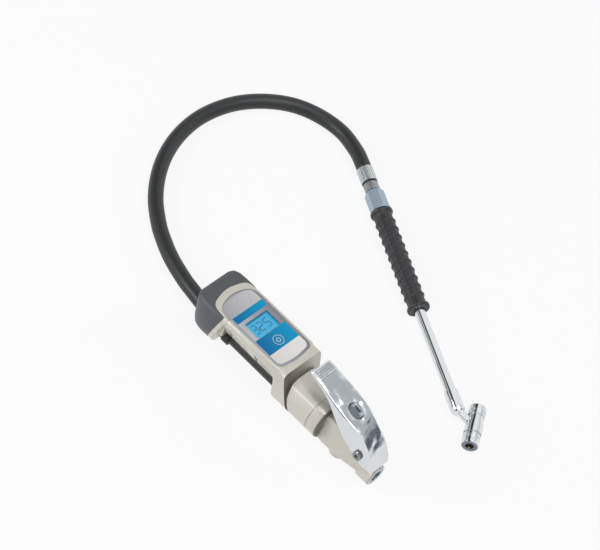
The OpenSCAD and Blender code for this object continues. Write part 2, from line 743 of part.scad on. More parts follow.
module valve_poppet() {
    color(brass) {
        z_rod(-0.6, 1.9, poppet_r, valve_x);
        z_rod(1.8, 3.1, seat_r - 0.4, valve_x);
        z_rod(-3, -0.6, 2.6, valve_x);
    }
}

module poppet_seal() {
    color(rubber) difference() {
        z_rod(1.92, 2.95, poppet_r - 0.2, valve_x);
        z_rod(1, 4, seat_r - 0.35, valve_x);
    }
}

// Coil spring standing on z0: one tube along a helix
function coil(z0, z1, r, wire, turns, steps, sides) = [
    for (i = [0:turns * steps])
        let (a = 360 * i / steps, z = z0 + wire + (z1 - z0 - 2 * wire) * i / (turns * steps))
        [for (j = [0:sides - 1]) let (b = 360 * j / sides, q = r + wire * cos(b))
            [q * cos(a), q * sin(a), z + wire * sin(b)]]];

module coil_spring(z0, z1, r, wire, turns) {
    rings = coil(z0, z1, r, wire, turns, 10, 6);
    polyhedron(points = [for (k = rings) each k], faces = ring_faces(len(rings), 6), convexity = 12);
}

spring_low_z = -8.4;
spring_high_z = -0.7;

module valve_spring() {
    color(zinc) translate([valve_x, 0, 0])
        coil_spring(spring_low_z, spring_high_z, 4.2, spring_wire_r, 4);
}

module valve_plug() {
    color(brass) difference() {
        union() {
            z_rod(spring_low_z - 1.9, -6.1, chamber_r + 0.85, valve_x);
            translate([valve_x, 0, floor_z]) cylinder(h = 1.8, r = 8, $fn = 6);
        }
        z_rod(spring_low_z - 0.1, 0, 5.4, valve_x);
    }
}

module plug_seal() {
    color(rubber) difference() {
        z_rod(-6.05, -5.05, chamber_r + 0.85, valve_x);
        z_rod(-7, -4, poppet_r + 0.6, valve_x);
    }
}

// ---- hose inside the body ----

tail_front_x = -64.6;

module hose_tail() {
    color(brass) difference() {
        union() {
            x_rod(seam_x - 1, tail_front_x, 6.6);
            x_rod(-80, seam_x - fit, 8.4);
            x_rod(-98, -80, hose_bore_r - fit);
        }
        x_rod(-99, -60, 2.4);
    }
}

module hose_tail_ferrule() {
    color(zinc) difference() {
        x_rod(-96, -80.05, 8.7);
        x_rod(-97, -79, hose_r + fit);
    }
}

module hose_inner_run() {
    arc = [for (a = [0:1.5:hose_turn])
        [hose_arc_x - hose_arc_r * sin(a), hose_arc_r * (1 - cos(a)), 0]];
    path = concat([[-80.1, 0, 0]], arc, [start_point]);
    rings = tube_rings(path, hose_r, 24);
    color(rubber) difference() {
        polyhedron(points = [for (k = rings) each k], faces = ring_faces(len(rings), 24), convexity = 4);
        x_rod(-110, -79, hose_bore_r);
    }
}

module hose_collar() {
    color(rubber) difference() {
        union() {
            x_rod(-191.3, -184.5, 9.9);
            x_rod(-196.5, -191.3, hose_r + 1.3);
        }
        x_rod(-198, -180, hose_r + fit);
    }
}

// ---- free hose ----

// Route of the free hose, from the rear cap to the crimped ferrule
hose_route = [
    [-224, 1.57, 0], [-236, 3.5, 0], [-246, 5.2, -0.3],
    [-258, 7.6, -0.8], [-282, 15.4, -2.6], [-302, 24.8, -3.9], [-319.5, 35, -4.5],
    [-343, 53.5, -4.5], [-363.5, 78, -4.5], [-378, 105, -4.5], [-386.5, 134, -4.5],
    [-388.5, 164, -4.5], [-382.5, 196, -4.5], [-368.5, 224, -4.5], [-348, 246.5, -4.5],
    [-323.5, 259.5, -4.5], [-296, 264, -4], [-271, 258.2, -2.4]];

start_dir = [-cos(hose_turn), sin(hose_turn), 0];
start_point = [hose_end_x, hose_end_y, 0] + hose_stub * start_dir;
wand_dir = [cos(wand_turn), sin(wand_turn), 0];
hose_points = concat(
    [start_point, start_point + 3 * start_dir], hose_route,
    [wand_at - 9 * wand_dir, wand_at + 14.4 * wand_dir]);

// Point at t of the smooth curve through p1 and p2
function through(p0, p1, p2, p3, t) =
    0.5 * (2 * p1 + (p2 - p0) * t + (2 * p0 - 5 * p1 + 4 * p2 - p3) * t * t
        + (3 * p1 - p0 - 3 * p2 + p3) * t * t * t);

function smooth(points, n) =
    let (last = len(points) - 1)
    concat([for (i = [0:last - 1], k = [0:n - 1])
        through(points[max(i - 1, 0)], points[i], points[i + 1], points[min(i + 2, last)], k / n)],
        [points[last]]);

function heading(path, i) = unit(path[min(i + 1, len(path) - 1)] - path[max(i - 1, 0)]);

// Rings of a tube of radius r along a path that lies nearly level
function tube_rings(path, r, sides) = [
    for (i = [0:len(path) - 1])
        let (
            ahead = i == 0 ? unit(path[1] - path[0]) : heading(path, i),
            across = unit(cross([0, 0, 1], ahead)),
            up = cross(ahead, across))
        [for (j = [0:sides - 1]) let (a = 360 * (j + 0.5) / sides)
            path[i] + r * cos(a) * across + r * sin(a) * up]];

module hose() {
    path = smooth(hose_points, 2);
    rings = tube_rings(path, hose_r, hose_sides);
    color(rubber) difference() {
        polyhedron(
            points = [for (k = rings) each k], faces = ring_faces(len(rings), hose_sides), convexity = 8);
        at_wand() x_rod(-2, 16, hose_bore_r);
    }
}

// ---- wand ----

module at_wand() {
    translate(wand_at) rotate([0, 0, wand_turn]) children();
}

tail_t = ferrule_l + 1.2;  // where the ferrule ends along the wand
collar_t = tail_t + 2.3;
hex_t = collar_t + 8.5;
grip_t = hex_t + hex_l;
tube_t = grip_t + grip_l;
tube_end_t = tube_t + tube_show_l + 6;

module crimp_ferrule() {
    crimps = 20;
    color("#dfe1e2") at_wand() difference() {
        x_rod(0, tail_t, ferrule_r);
        x_rod(-1, ferrule_l, hose_r + fit);
        x_rod(0, 20, 5 + fit);
        for (i = [0:crimps - 1])
            rotate([360 * i / crimps, 0, 0]) x_rod(1.4, tail_t - 1.4, 0.5, 0, ferrule_r + 0.2);
    }
}

module wand_tail() {
    color(chrome) at_wand() difference() {
        union() {
            x_rod(1, ferrule_l, hose_bore_r - fit);
            x_rod(ferrule_l - 0.05, collar_t, 5);
            x_rod(collar_t, hex_t - 0.05, 7.4);
            x_rod(hex_t - 0.1, hex_t + 9, 5.4);
        }
        x_rod(0, hex_t + 10, 2.4);
        for (i = [0:15])
            rotate([360 * i / 16, 0, 0]) x_rod(collar_t + 1.2, hex_t - 1.2, 0.45, 0, 7.5);
    }
}

module hex_adaptor() {
    corner_r = hex_af / 2 / cos(30);
    color(zinc) at_wand() difference() {
        intersection() {
            translate([hex_t, 0, 0]) rotate([0, 90, 0]) cylinder(h = hex_l, r = corner_r, $fn = 6);
            translate([hex_t, 0, 0]) rotate([0, 90, 0]) rotate_extrude() polygon([
                [0, 0], [hex_af / 2 - 1.6, 0], [corner_r + 0.2, 3.4], [corner_r + 0.2, hex_l - 2.6],
                [hex_af / 2 - 0.6, hex_l], [0, hex_l]]);
        }
        x_rod(hex_t - 1, hex_t + 9.2, 5.4 + fit);
        x_rod(hex_t, hex_t + hex_l + 1, 3.4);
        x_rod(hex_t + hex_l - 8, hex_t + hex_l + 1, tube_r + fit);
    }
}

module wand_grip() {
    pitch = (grip_l - 10) / (grip_rings + 1);
    color(rubber) at_wand() difference() {
        union() {
            x_rod(grip_t + 0.1, grip_t + grip_l, grip_body_r);
            for (end = [grip_t + 0.1, grip_t + grip_l - 4.4])
                x_rod(end, end + 4.4, grip_flange_r);
            for (i = [1:grip_rings])
                translate([grip_t + 5 + i * pitch, 0, 0]) rotate([0, 90, 0])
                    rotate_extrude() polygon([
                        [grip_body_r - 1, -2], [grip_body_r, -1.7], [grip_ring_r, -0.7], [grip_ring_r, 0.7],
                        [grip_body_r, 1.7], [grip_body_r - 1, 2]]);
        }
        x_rod(grip_t - 1, grip_t + grip_l + 1, tube_r + fit);
    }
}

module wand_tube() {
    color(chrome) at_wand() difference() {
        x_rod(grip_t - 7.9, tube_end_t, tube_r);
        x_rod(grip_t - 9, tube_end_t + 1, tube_bore_r);
    }
}

// ---- chuck ----

elbow_t = tube_end_t - 9;  // where the elbow's sleeve begins
knee_t = tube_end_t + 10;  // centre of the elbow's round end
elbow_r = 6.9;
sleeve_l = knee_t - elbow_t;
knee_at = wand_at + knee_t * wand_dir;
neck_turn = -5;
neck_l = 23;               // from the knee to the chuck's centre
chuck_turn = wand_turn - 30.5;
chuck_at = knee_at + neck_l * [cos(neck_turn), sin(neck_turn), 0];

module at_chuck() {
    translate(chuck_at) rotate([0, 0, chuck_turn]) children();
}

module chuck_elbow() {
    color(chrome) difference() {
        union() {
            at_wand() translate([elbow_t, 0, 0]) rotate([0, 90, 0]) rotate_extrude() polygon([
                [0, 0], [elbow_r - 0.6, 0], [elbow_r, 0.6], [elbow_r, sleeve_l],
                [elbow_r * 0.93, sleeve_l + 2.6], [elbow_r * 0.76, sleeve_l + 4.6],
                [elbow_r * 0.46, sleeve_l + 6.1], [0, sleeve_l + 6.8]]);
            translate(knee_at) rotate([0, 0, neck_turn]) x_rod(0, neck_l - 2, 3.9);
        }
        at_wand() x_rod(elbow_t - 1, tube_end_t + 0.1, tube_r + fit);
        at_wand() x_rod(tube_end_t - 1, knee_t + 1, 2.6);
        translate(knee_at) rotate([0, 0, neck_turn]) x_rod(0, neck_l, 1.6);
        at_chuck() x_rod(-20, 20, chuck_waist_r + fit);
        at_chuck() x_rod(-barrel_v - fit, 20, chuck_barrel_r + fit);
    }
}

chamber_v = 6;             // inner end of each pin chamber
barrel_v = 3;              // how far the barrel reaches behind the chuck's centre
cap_v = 10.2;              // inner end of the front cap
rear_cap_v = 11.2;         // inner end of the rear cap, clear of the neck
seal_v = 15.1;
seal_t = 3;

module chuck_body() {
    color(chrome) at_chuck() difference() {
        union() {
            x_rod(-rear_cap_v, cap_v, chuck_waist_r);
            x_rod(-barrel_v, cap_v - 0.7, chuck_barrel_r);
            x_rod(-seal_v, seal_v, 6.4);
        }
        x_rod(-20, 20, 1.6);
        for (side = [0, 1]) mirror([side, 0, 0]) x_rod(chamber_v, 20, 3.3);
        rotate([0, 0, neck_turn + 180 - chuck_turn]) x_rod(0, 12, 2);
    }
}

module chuck_end_cap(inner_v, bore_r) {
    difference() {
        union() {
            x_rod(inner_v + 0.1, chuck_half_l - 0.8, chuck_cap_r);
            translate([chuck_half_l - 0.8, 0, 0]) rotate([0, 90, 0])
                cylinder(h = 0.8, r1 = chuck_cap_r, r2 = chuck_cap_r - 0.8);
        }
        x_rod(inner_v, seal_v + seal_t + fit, 6.4 + fit);
        x_rod(inner_v, chuck_half_l + 1, bore_r);
        for (v = [13.2, 15.2]) translate([v, 0, 0]) rotate([0, 90, 0]) difference() {
            cylinder(h = 0.7, r = chuck_cap_r + 1);
            translate([0, 0, -1]) cylinder(h = 3, r = chuck_cap_r - 0.35);
        }
    }
}

module chuck_cap_front() {
    color(chrome) at_chuck() chuck_end_cap(cap_v, mouth_r);
}

module chuck_cap_rear() {
    color(chrome) at_chuck() mirror([1, 0, 0]) chuck_end_cap(rear_cap_v, rear_mouth_r);
}

module chuck_seals() {
    color(rubber) at_chuck() for (side = [0, 1]) mirror([side, 0, 0]) difference() {
        x_rod(seal_v + 0.02, seal_v + seal_t - 0.15, 6.4);
        x_rod(seal_v - 1, seal_v + seal_t + 1, 2.6);
    }
}

module depressor_pin() {
    x_rod(12.6, seal_v - 0.1, 3.24);
    x_rod(seal_v - 0.1, seal_v + seal_t - 0.4, 1.2);
    x_rod(11.6, 12.6, 1.2);
}

module depressor_pin_front() {
    color(brass) at_chuck() depressor_pin();
}

module depressor_pin_rear() {
    color(brass) at_chuck() mirror([1, 0, 0]) depressor_pin();
}

module depressor_springs() {
    color(zinc) at_chuck() for (side = [0, 1]) mirror([side, 0, 0])
        rotate([0, 90, 0]) coil_spring(chamber_v + 0.1, 12.5, 2.4, 0.3, 4);
}

gauge_housing();
rear_cap();
cap_screws();
label_plate();
display_window();
display_module();
circuit_board();
tact_switch();
power_button();
battery_tray();
batteries();
battery_contacts();
pressure_sensor();
pressure_tube();
handle_shell();
valve_body();
tie_screws();
inlet_bush();
inlet_filter();
lever();
lever_pivot_screw();
lever_pivot_nut();
valve_stem();
stem_gland();
stem_seal();
valve_poppet();
poppet_seal();
valve_spring();
valve_plug();
plug_seal();
hose_tail();
hose_tail_ferrule();
hose_inner_run();
hose_collar();
hose();
crimp_ferrule();
wand_tail();
hex_adaptor();
wand_grip();
wand_tube();
chuck_elbow();
chuck_body();
chuck_cap_front();
chuck_cap_rear();
chuck_seals();
depressor_pin_front();
depressor_pin_rear();
depressor_springs();
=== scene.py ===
"""Dresses the hand-held tyre inflator: finishes, printed label, display, hose, wand grip and studio.

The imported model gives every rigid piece. This script adds what moulding, printing, plating and rubber
look like, and builds the pieces whose form a plain solid can't hold, such as the hose and the grip.
"""

import json
import logging
import math
from dataclasses import dataclass
from enum import Enum
from typing import Any, Callable

import bmesh
import bpy
from mathutils import Matrix, Vector

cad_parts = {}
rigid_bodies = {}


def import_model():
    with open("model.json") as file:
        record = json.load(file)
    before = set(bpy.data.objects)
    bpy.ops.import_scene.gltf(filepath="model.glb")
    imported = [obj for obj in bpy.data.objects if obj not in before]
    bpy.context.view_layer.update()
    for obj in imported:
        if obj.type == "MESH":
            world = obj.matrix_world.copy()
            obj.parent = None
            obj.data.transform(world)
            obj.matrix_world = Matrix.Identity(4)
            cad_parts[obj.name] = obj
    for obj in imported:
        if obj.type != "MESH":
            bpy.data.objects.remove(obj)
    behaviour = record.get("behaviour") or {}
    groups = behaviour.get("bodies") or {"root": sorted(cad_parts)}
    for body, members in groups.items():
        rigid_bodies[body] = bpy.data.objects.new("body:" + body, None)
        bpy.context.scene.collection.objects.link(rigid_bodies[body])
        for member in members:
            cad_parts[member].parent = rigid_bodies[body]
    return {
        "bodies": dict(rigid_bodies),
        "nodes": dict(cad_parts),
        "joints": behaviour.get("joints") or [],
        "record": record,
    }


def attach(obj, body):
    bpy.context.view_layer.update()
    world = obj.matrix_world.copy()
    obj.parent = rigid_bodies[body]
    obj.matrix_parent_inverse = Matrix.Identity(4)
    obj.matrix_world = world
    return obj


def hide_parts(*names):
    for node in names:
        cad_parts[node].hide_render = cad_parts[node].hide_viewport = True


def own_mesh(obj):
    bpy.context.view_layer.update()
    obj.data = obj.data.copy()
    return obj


logging.basicConfig(level=logging.INFO, format="%(message)s")
log = logging.getLogger("inflator")

MM = 0.001
Point = tuple[float, float, float]
Colour = tuple[float, float, float, float]
Keep = Callable[[Vector, Vector], bool]
Span = tuple[float, float] | tuple[()]

# Places that several pieces share, in millimetres and degrees.
WAND_AT: Point = (-248.0, 246.7, -0.9)
WAND_TURN = -28.0
DIMPLE_AT: Point = (-44.5, 0.0, 51.6)
CHUCK_AT: Point = (19.489, 114.652, -0.9)

# The joint between housing and handle leans: its place along X at its top, that height, and its slope.
JOINT_X, JOINT_TOP, JOINT_SLOPE = -110.6, 46.5, 0.28

# Width of the broad marks that handling and uneven spraying leave, in millimetres.
HANDLING = 40.0

# A fine and a broad pattern added together stay between these, since each keeps near 0.5.
PATTERN_LOW, PATTERN_HIGH = 0.6, 1.4

# Roughness under which no uneven patch falls.
SMOOTHEST = 0.02

# Largest angle between two faces that still looks smooth, in degrees.
SMOOTH_ANGLE = 32.0

# Vertices closer than this, in metres, are one vertex.
WELD = 0.002 * MM

# Vertices closer than this to a cutting plane, in metres, lie on it.
ON_PLANE = 1e-7


# ---------------------------------------------------------------------------
# Colour, node and mesh helpers
# ---------------------------------------------------------------------------


def linear(code: str, shade: float = 1.0) -> Colour:
    """Turns an sRGB hex colour into the linear colour that a shader takes.

    Args:
        code: The colour as "#rrggbb".
        shade: Factor on the linear colour, under 1 for darker and over 1 for paler.

    Returns:
        Red, green, blue and alpha.
    """
    channels = [int(code[i : i + 2], 16) / 255 for i in (1, 3, 5)]
    bright = [c / 12.92 if c <= 0.04045 else ((c + 0.055) / 1.055) ** 2.4 for c in channels]
    r, g, b = (min(1.0, c * shade) for c in bright)
    return (r, g, b, 1.0)


def heading(degrees: float) -> Vector:
    """Level direction at an angle from +X."""
    turn = math.radians(degrees)
    return Vector((math.cos(turn), math.sin(turn), 0.0))


def past_joint(place: Vector) -> float:
    """Distance in millimetres ahead of the leaning joint between housing and handle."""
    return place.x / MM - JOINT_X - JOINT_SLOPE * (JOINT_TOP - place.z / MM)


def add_node(
    tree: bpy.types.NodeTree, kind: str, inputs: dict[Any, Any] | None = None, **settings: Any
) -> Any:
    """Adds one node with its settings, values and incoming links.

    Args:
        tree: The tree that gets the node.
        kind: Blender's type name of the node.
        inputs: Socket name or index to a value, or to another node's output socket to link.
        **settings: Attributes of the node itself.

    Returns:
        The new node.
    """
    node = tree.nodes.new(kind)
    for name, value in settings.items():
        setattr(node, name, value)
    for key, value in (inputs or {}).items():
        if isinstance(value, bpy.types.NodeSocket):
            tree.links.new(value, node.inputs[key])
        else:
            node.inputs[key].default_value = value
    return node


def empty_material(name: str) -> bpy.types.Material:
    """Makes a material with an empty node tree.

    Args:
        name: The material's name.

    Returns:
        The new material.
    """
    made = bpy.data.materials.new(name)
    made.use_nodes = True
    made.node_tree.nodes.clear()
    return made


def seen_straight(tree: bpy.types.NodeTree) -> bpy.types.NodeSocket:
    """Tells what the camera sees itself, through glass or in a polished surface.

    Args:
        tree: The tree that gets the nodes.

    Returns:
        A socket that gives 1 there and 0 for light on other surfaces.
    """
    path = add_node(tree, "ShaderNodeLightPath").outputs
    seen = path["Is Camera Ray"]
    for ray in ("Is Transmission Ray", "Is Glossy Ray"):
        seen = add_node(tree, "ShaderNodeMath", {0: seen, 1: path[ray]}, operation="MAXIMUM").outputs[0]
    return seen


def new_object(name: str, mesh: bpy.types.Mesh) -> bpy.types.Object:
    """Links a mesh into the scene as a named object.

    Args:
        name: The object's name.
        mesh: Its mesh.

    Returns:
        The new object.
    """
    obj = bpy.data.objects.new(name, mesh)
    bpy.context.scene.collection.objects.link(obj)
    return obj


def mesh_object(
    name: str, points: list[Any], faces: list[tuple[int, ...]], smooth: bool = True
) -> bpy.types.Object:
    """Makes an object from points and faces, with its normals facing outward.

    Args:
        name: The piece's name.
        points: Vertices in metres.
        faces: Indices of each face.
        smooth: Whether the faces are smooth shaded.

    Returns:
        The new object.
    """
    mesh = bpy.data.meshes.new(name)
    mesh.from_pydata([tuple(p) for p in points], [], faces)
    work = bmesh.new()
    work.from_mesh(mesh)
    bmesh.ops.recalc_face_normals(work, faces=work.faces)
    work.to_mesh(mesh)
    work.free()
    mesh.polygons.foreach_set("use_smooth", [smooth] * len(mesh.polygons))
    mesh.update()
    return new_object(name, mesh)


def quarter_bend(a: Vector, corner: Vector, b: Vector, steps: int) -> list[Vector]:
    """Points of a smooth turn from a to b that leans on the corner."""
    ts = [i / steps for i in range(steps + 1)]
    return [(1 - t) ** 2 * a + 2 * t * (1 - t) * corner + t * t * b for t in ts]


def rounded_loop(corners: list[tuple[float, float, float]], steps: int = 8) -> list[Vector]:
    """Closed outline through corners, each eased over its own blend length.

    Args:
        corners: Each corner as x, y and blend length, in millimetres.
        steps: Pieces in each eased corner.

    Returns:
        Flat points in millimetres.
    """
    # An eased corner takes at most this share of a side.
    share = 0.45
    loop: list[Vector] = []
    for i, (x, y, blend) in enumerate(corners):
        here = Vector((x, y))
        before = Vector(corners[i - 1][:2]) - here
        after = Vector(corners[(i + 1) % len(corners)][:2]) - here
        reach = min(blend, share * before.length, share * after.length)
        start, end = here + reach * before.normalized(), here + reach * after.normalized()
        loop += quarter_bend(start, here, end, steps)
    return loop


def rectangle(x0: float, x1: float, y0: float, y1: float) -> list[Vector]:
    """Corners of a flat rectangle, in turn."""
    return [Vector(p) for p in ((x0, y0), (x1, y0), (x1, y1), (x0, y1))]


def flat_sheet(name: str, loops: list[list[Vector]], height: float) -> bpy.types.Object:
    """Fills a flat outline, with holes, facing up.

    Args:
        name: The piece's name.
        loops: The outer outline and then the holes, in millimetres.
        height: Height of the sheet in millimetres.

    Returns:
        The new object.
    """
    work = bmesh.new()
    edges = []
    for loop in loops:
        verts = [work.verts.new((p[0] * MM, p[1] * MM, height * MM)) for p in loop]
        edges += [work.edges.new((verts[i], verts[(i + 1) % len(verts)])) for i in range(len(verts))]
    bmesh.ops.triangle_fill(work, use_beauty=True, use_dissolve=False, edges=edges, normal=(0, 0, 1))
    for face in work.faces:
        if face.normal.z < 0:
            face.normal_flip()
    mesh = bpy.data.meshes.new(name)
    work.to_mesh(mesh)
    work.free()
    return new_object(name, mesh)


def skin_patch(
    name: str, node: bpy.types.Object, lift: float, keep: Keep, span: Span = ()
) -> bpy.types.Object:
    """Copies part of a piece's outer skin and lifts it a hair, to carry a finish of its own.

    Args:
        name: The patch's name.
        node: The piece that it lies on.
        lift: Height above the skin in millimetres.
        keep: Tells from a face's centre and normal whether it belongs to the patch.
        span: Range along X in millimetres to which the skin is trimmed first, where there is one.

    Returns:
        The new object.
    """
    work = bmesh.new()
    work.from_mesh(node.data)
    bmesh.ops.remove_doubles(work, verts=work.verts, dist=WELD)
    for x, side in zip(span, (-1, 1)):
        geom = list(work.verts) + list(work.edges) + list(work.faces)
        place, way = (x * MM, 0, 0), (side, 0, 0)
        bmesh.ops.bisect_plane(
            work, geom=geom, dist=ON_PLANE, plane_co=place, plane_no=way, clear_outer=True
        )
    work.normal_update()
    spare = [f for f in work.faces if not keep(f.calc_center_median(), f.normal)]
    bmesh.ops.delete(work, geom=spare, context="FACES")
    work.normal_update()
    for vert in work.verts:
        vert.co += vert.normal * lift * MM
    mesh = bpy.data.meshes.new(name)
    work.to_mesh(mesh)
    work.free()
    return new_object(name, mesh)


def circle_loop(x: float, radius: float, count: int = 48) -> list[Vector]:
    """Points of a flat circle round a place on the X axis, in millimetres."""
    turns = [2 * math.pi * i / count for i in range(count)]
    return [Vector((x + radius * math.cos(a), radius * math.sin(a))) for a in turns]


def through(points: list[Vector], steps: int) -> list[Vector]:
    """Draws a smooth curve through points.

    Args:
        points: The points, in order.
        steps: Pieces between each two of them.

    Returns:
        Points along the curve.
    """
    last = len(points) - 1
    curve: list[Vector] = []
    for i in range(last):
        p0, p1, p2, p3 = points[max(i - 1, 0)], points[i], points[i + 1], points[min(i + 2, last)]
        for k in range(steps):
            t = k / steps
            square = (2 * p0 - 5 * p1 + 4 * p2 - p3) * t * t
            cube = (3 * p1 - p0 - 3 * p2 + p3) * t**3
            curve.append(0.5 * (2 * p1 + (p2 - p0) * t + square + cube))
    return curve + [points[-1].copy()]


def line_length(points: list[Vector]) -> float:
    """Length of a line through points."""
    return sum((b - a).length for a, b in zip(points, points[1:]))


def even_steps(points: list[Vector], step: float) -> list[Vector]:
    """Spreads the points of a line evenly.

    Args:
        points: The line's points.
        step: Distance between the new points, met as nearly as a whole number of them allows.

    Returns:
        Points along the same line.
    """
    total = line_length(points)
    count = max(2, round(total / step))
    result, walked, index, spot = [points[0].copy()], 0.0, 0, points[0].copy()
    for k in range(1, count):
        target = total * k / count
        while walked + (points[index + 1] - spot).length < target:
            walked += (points[index + 1] - spot).length
            index += 1
            spot = points[index].copy()
        spot = spot + (points[index + 1] - spot).normalized() * (target - walked)
        walked = target
        result.append(spot.copy())
    return result + [points[-1].copy()]


def ring_faces(first: int, second: int, sides: int) -> list[tuple[int, ...]]:
    """Faces between two rings of vertices, given the index at which each ring starts."""
    nexts = [(j, (j + 1) % sides) for j in range(sides)]
    return [(first + j, first + k, second + k, second + j) for j, k in nexts]


def tube_object(name: str, path: list[Vector], radius: float, sides: int) -> bpy.types.Object:
    """A solid round tube along a path that lies nearly level, with a map of its length and girth.

    Args:
        name: The piece's name.
        path: Centre line in metres.
        radius: Radius in metres.
        sides: Sides of the tube.

    Returns:
        The new object. Its UV map holds the distance along and around the tube, in metres.
    """
    points: list[Vector] = []
    along = [0.0]
    for a, b in zip(path, path[1:]):
        along.append(along[-1] + (b - a).length)
    for i, centre in enumerate(path):
        ahead = (path[min(i + 1, len(path) - 1)] - path[max(i - 1, 0)]).normalized()
        across = Vector((0, 0, 1)).cross(ahead).normalized()
        up = ahead.cross(across)
        for j in range(sides):
            turn = 2 * math.pi * j / sides
            points.append(centre + radius * (math.cos(turn) * across + math.sin(turn) * up))
    faces: list[tuple[int, ...]] = []
    for i in range(len(path) - 1):
        faces += ring_faces(i * sides, (i + 1) * sides, sides)
    faces.append(tuple(range(sides)))
    faces.append(tuple(range((len(path) - 1) * sides, len(path) * sides)))
    obj = mesh_object(name, points, faces)
    uv = obj.data.uv_layers.new(name="run")
    girth = 2 * math.pi * radius
    for poly in obj.data.polygons:
        rows = [obj.data.loops[k].vertex_index % sides for k in poly.loop_indices]
        seam = max(rows) == sides - 1 and min(rows) == 0
        for k in poly.loop_indices:
            index = obj.data.loops[k].vertex_index
            row = sides if seam and index % sides == 0 else index % sides
            uv.data[k].uv = (along[index // sides], girth * row / sides)
    return obj


def turned_object(name: str, profile: list[tuple[float, float]], sides: int) -> bpy.types.Object:
    """A turned piece about its own X axis.

    Args:
        name: The piece's name.
        profile: Distance along and radius of each point, in millimetres.
        sides: Steps round the axis.

    Returns:
        The new object, at the origin.
    """
    points: list[Point] = []
    for along, radius in profile:
        for j in range(sides):
            turn = 2 * math.pi * j / sides
            points.append((along * MM, radius * MM * math.cos(turn), radius * MM * math.sin(turn)))
    rows = len(profile)
    faces: list[tuple[int, ...]] = []
    for i in range(rows):
        faces += ring_faces(i * sides, (i + 1) % rows * sides, sides)
    return mesh_object(name, points, faces)


# ---------------------------------------------------------------------------
# Finishes
# ---------------------------------------------------------------------------


@dataclass(frozen=True)
class Grain:
    """Fine unevenness of a surface.

    Attributes:
        size: Width at which one grain is drawn, in millimetres.
        depth: Height of the grain in millimetres.
        shade: Share by which the colour varies.
        gloss: Amount by which the roughness varies.
    """

    size: float
    depth: float = 0.0
    shade: float = 0.0
    gloss: float = 0.0


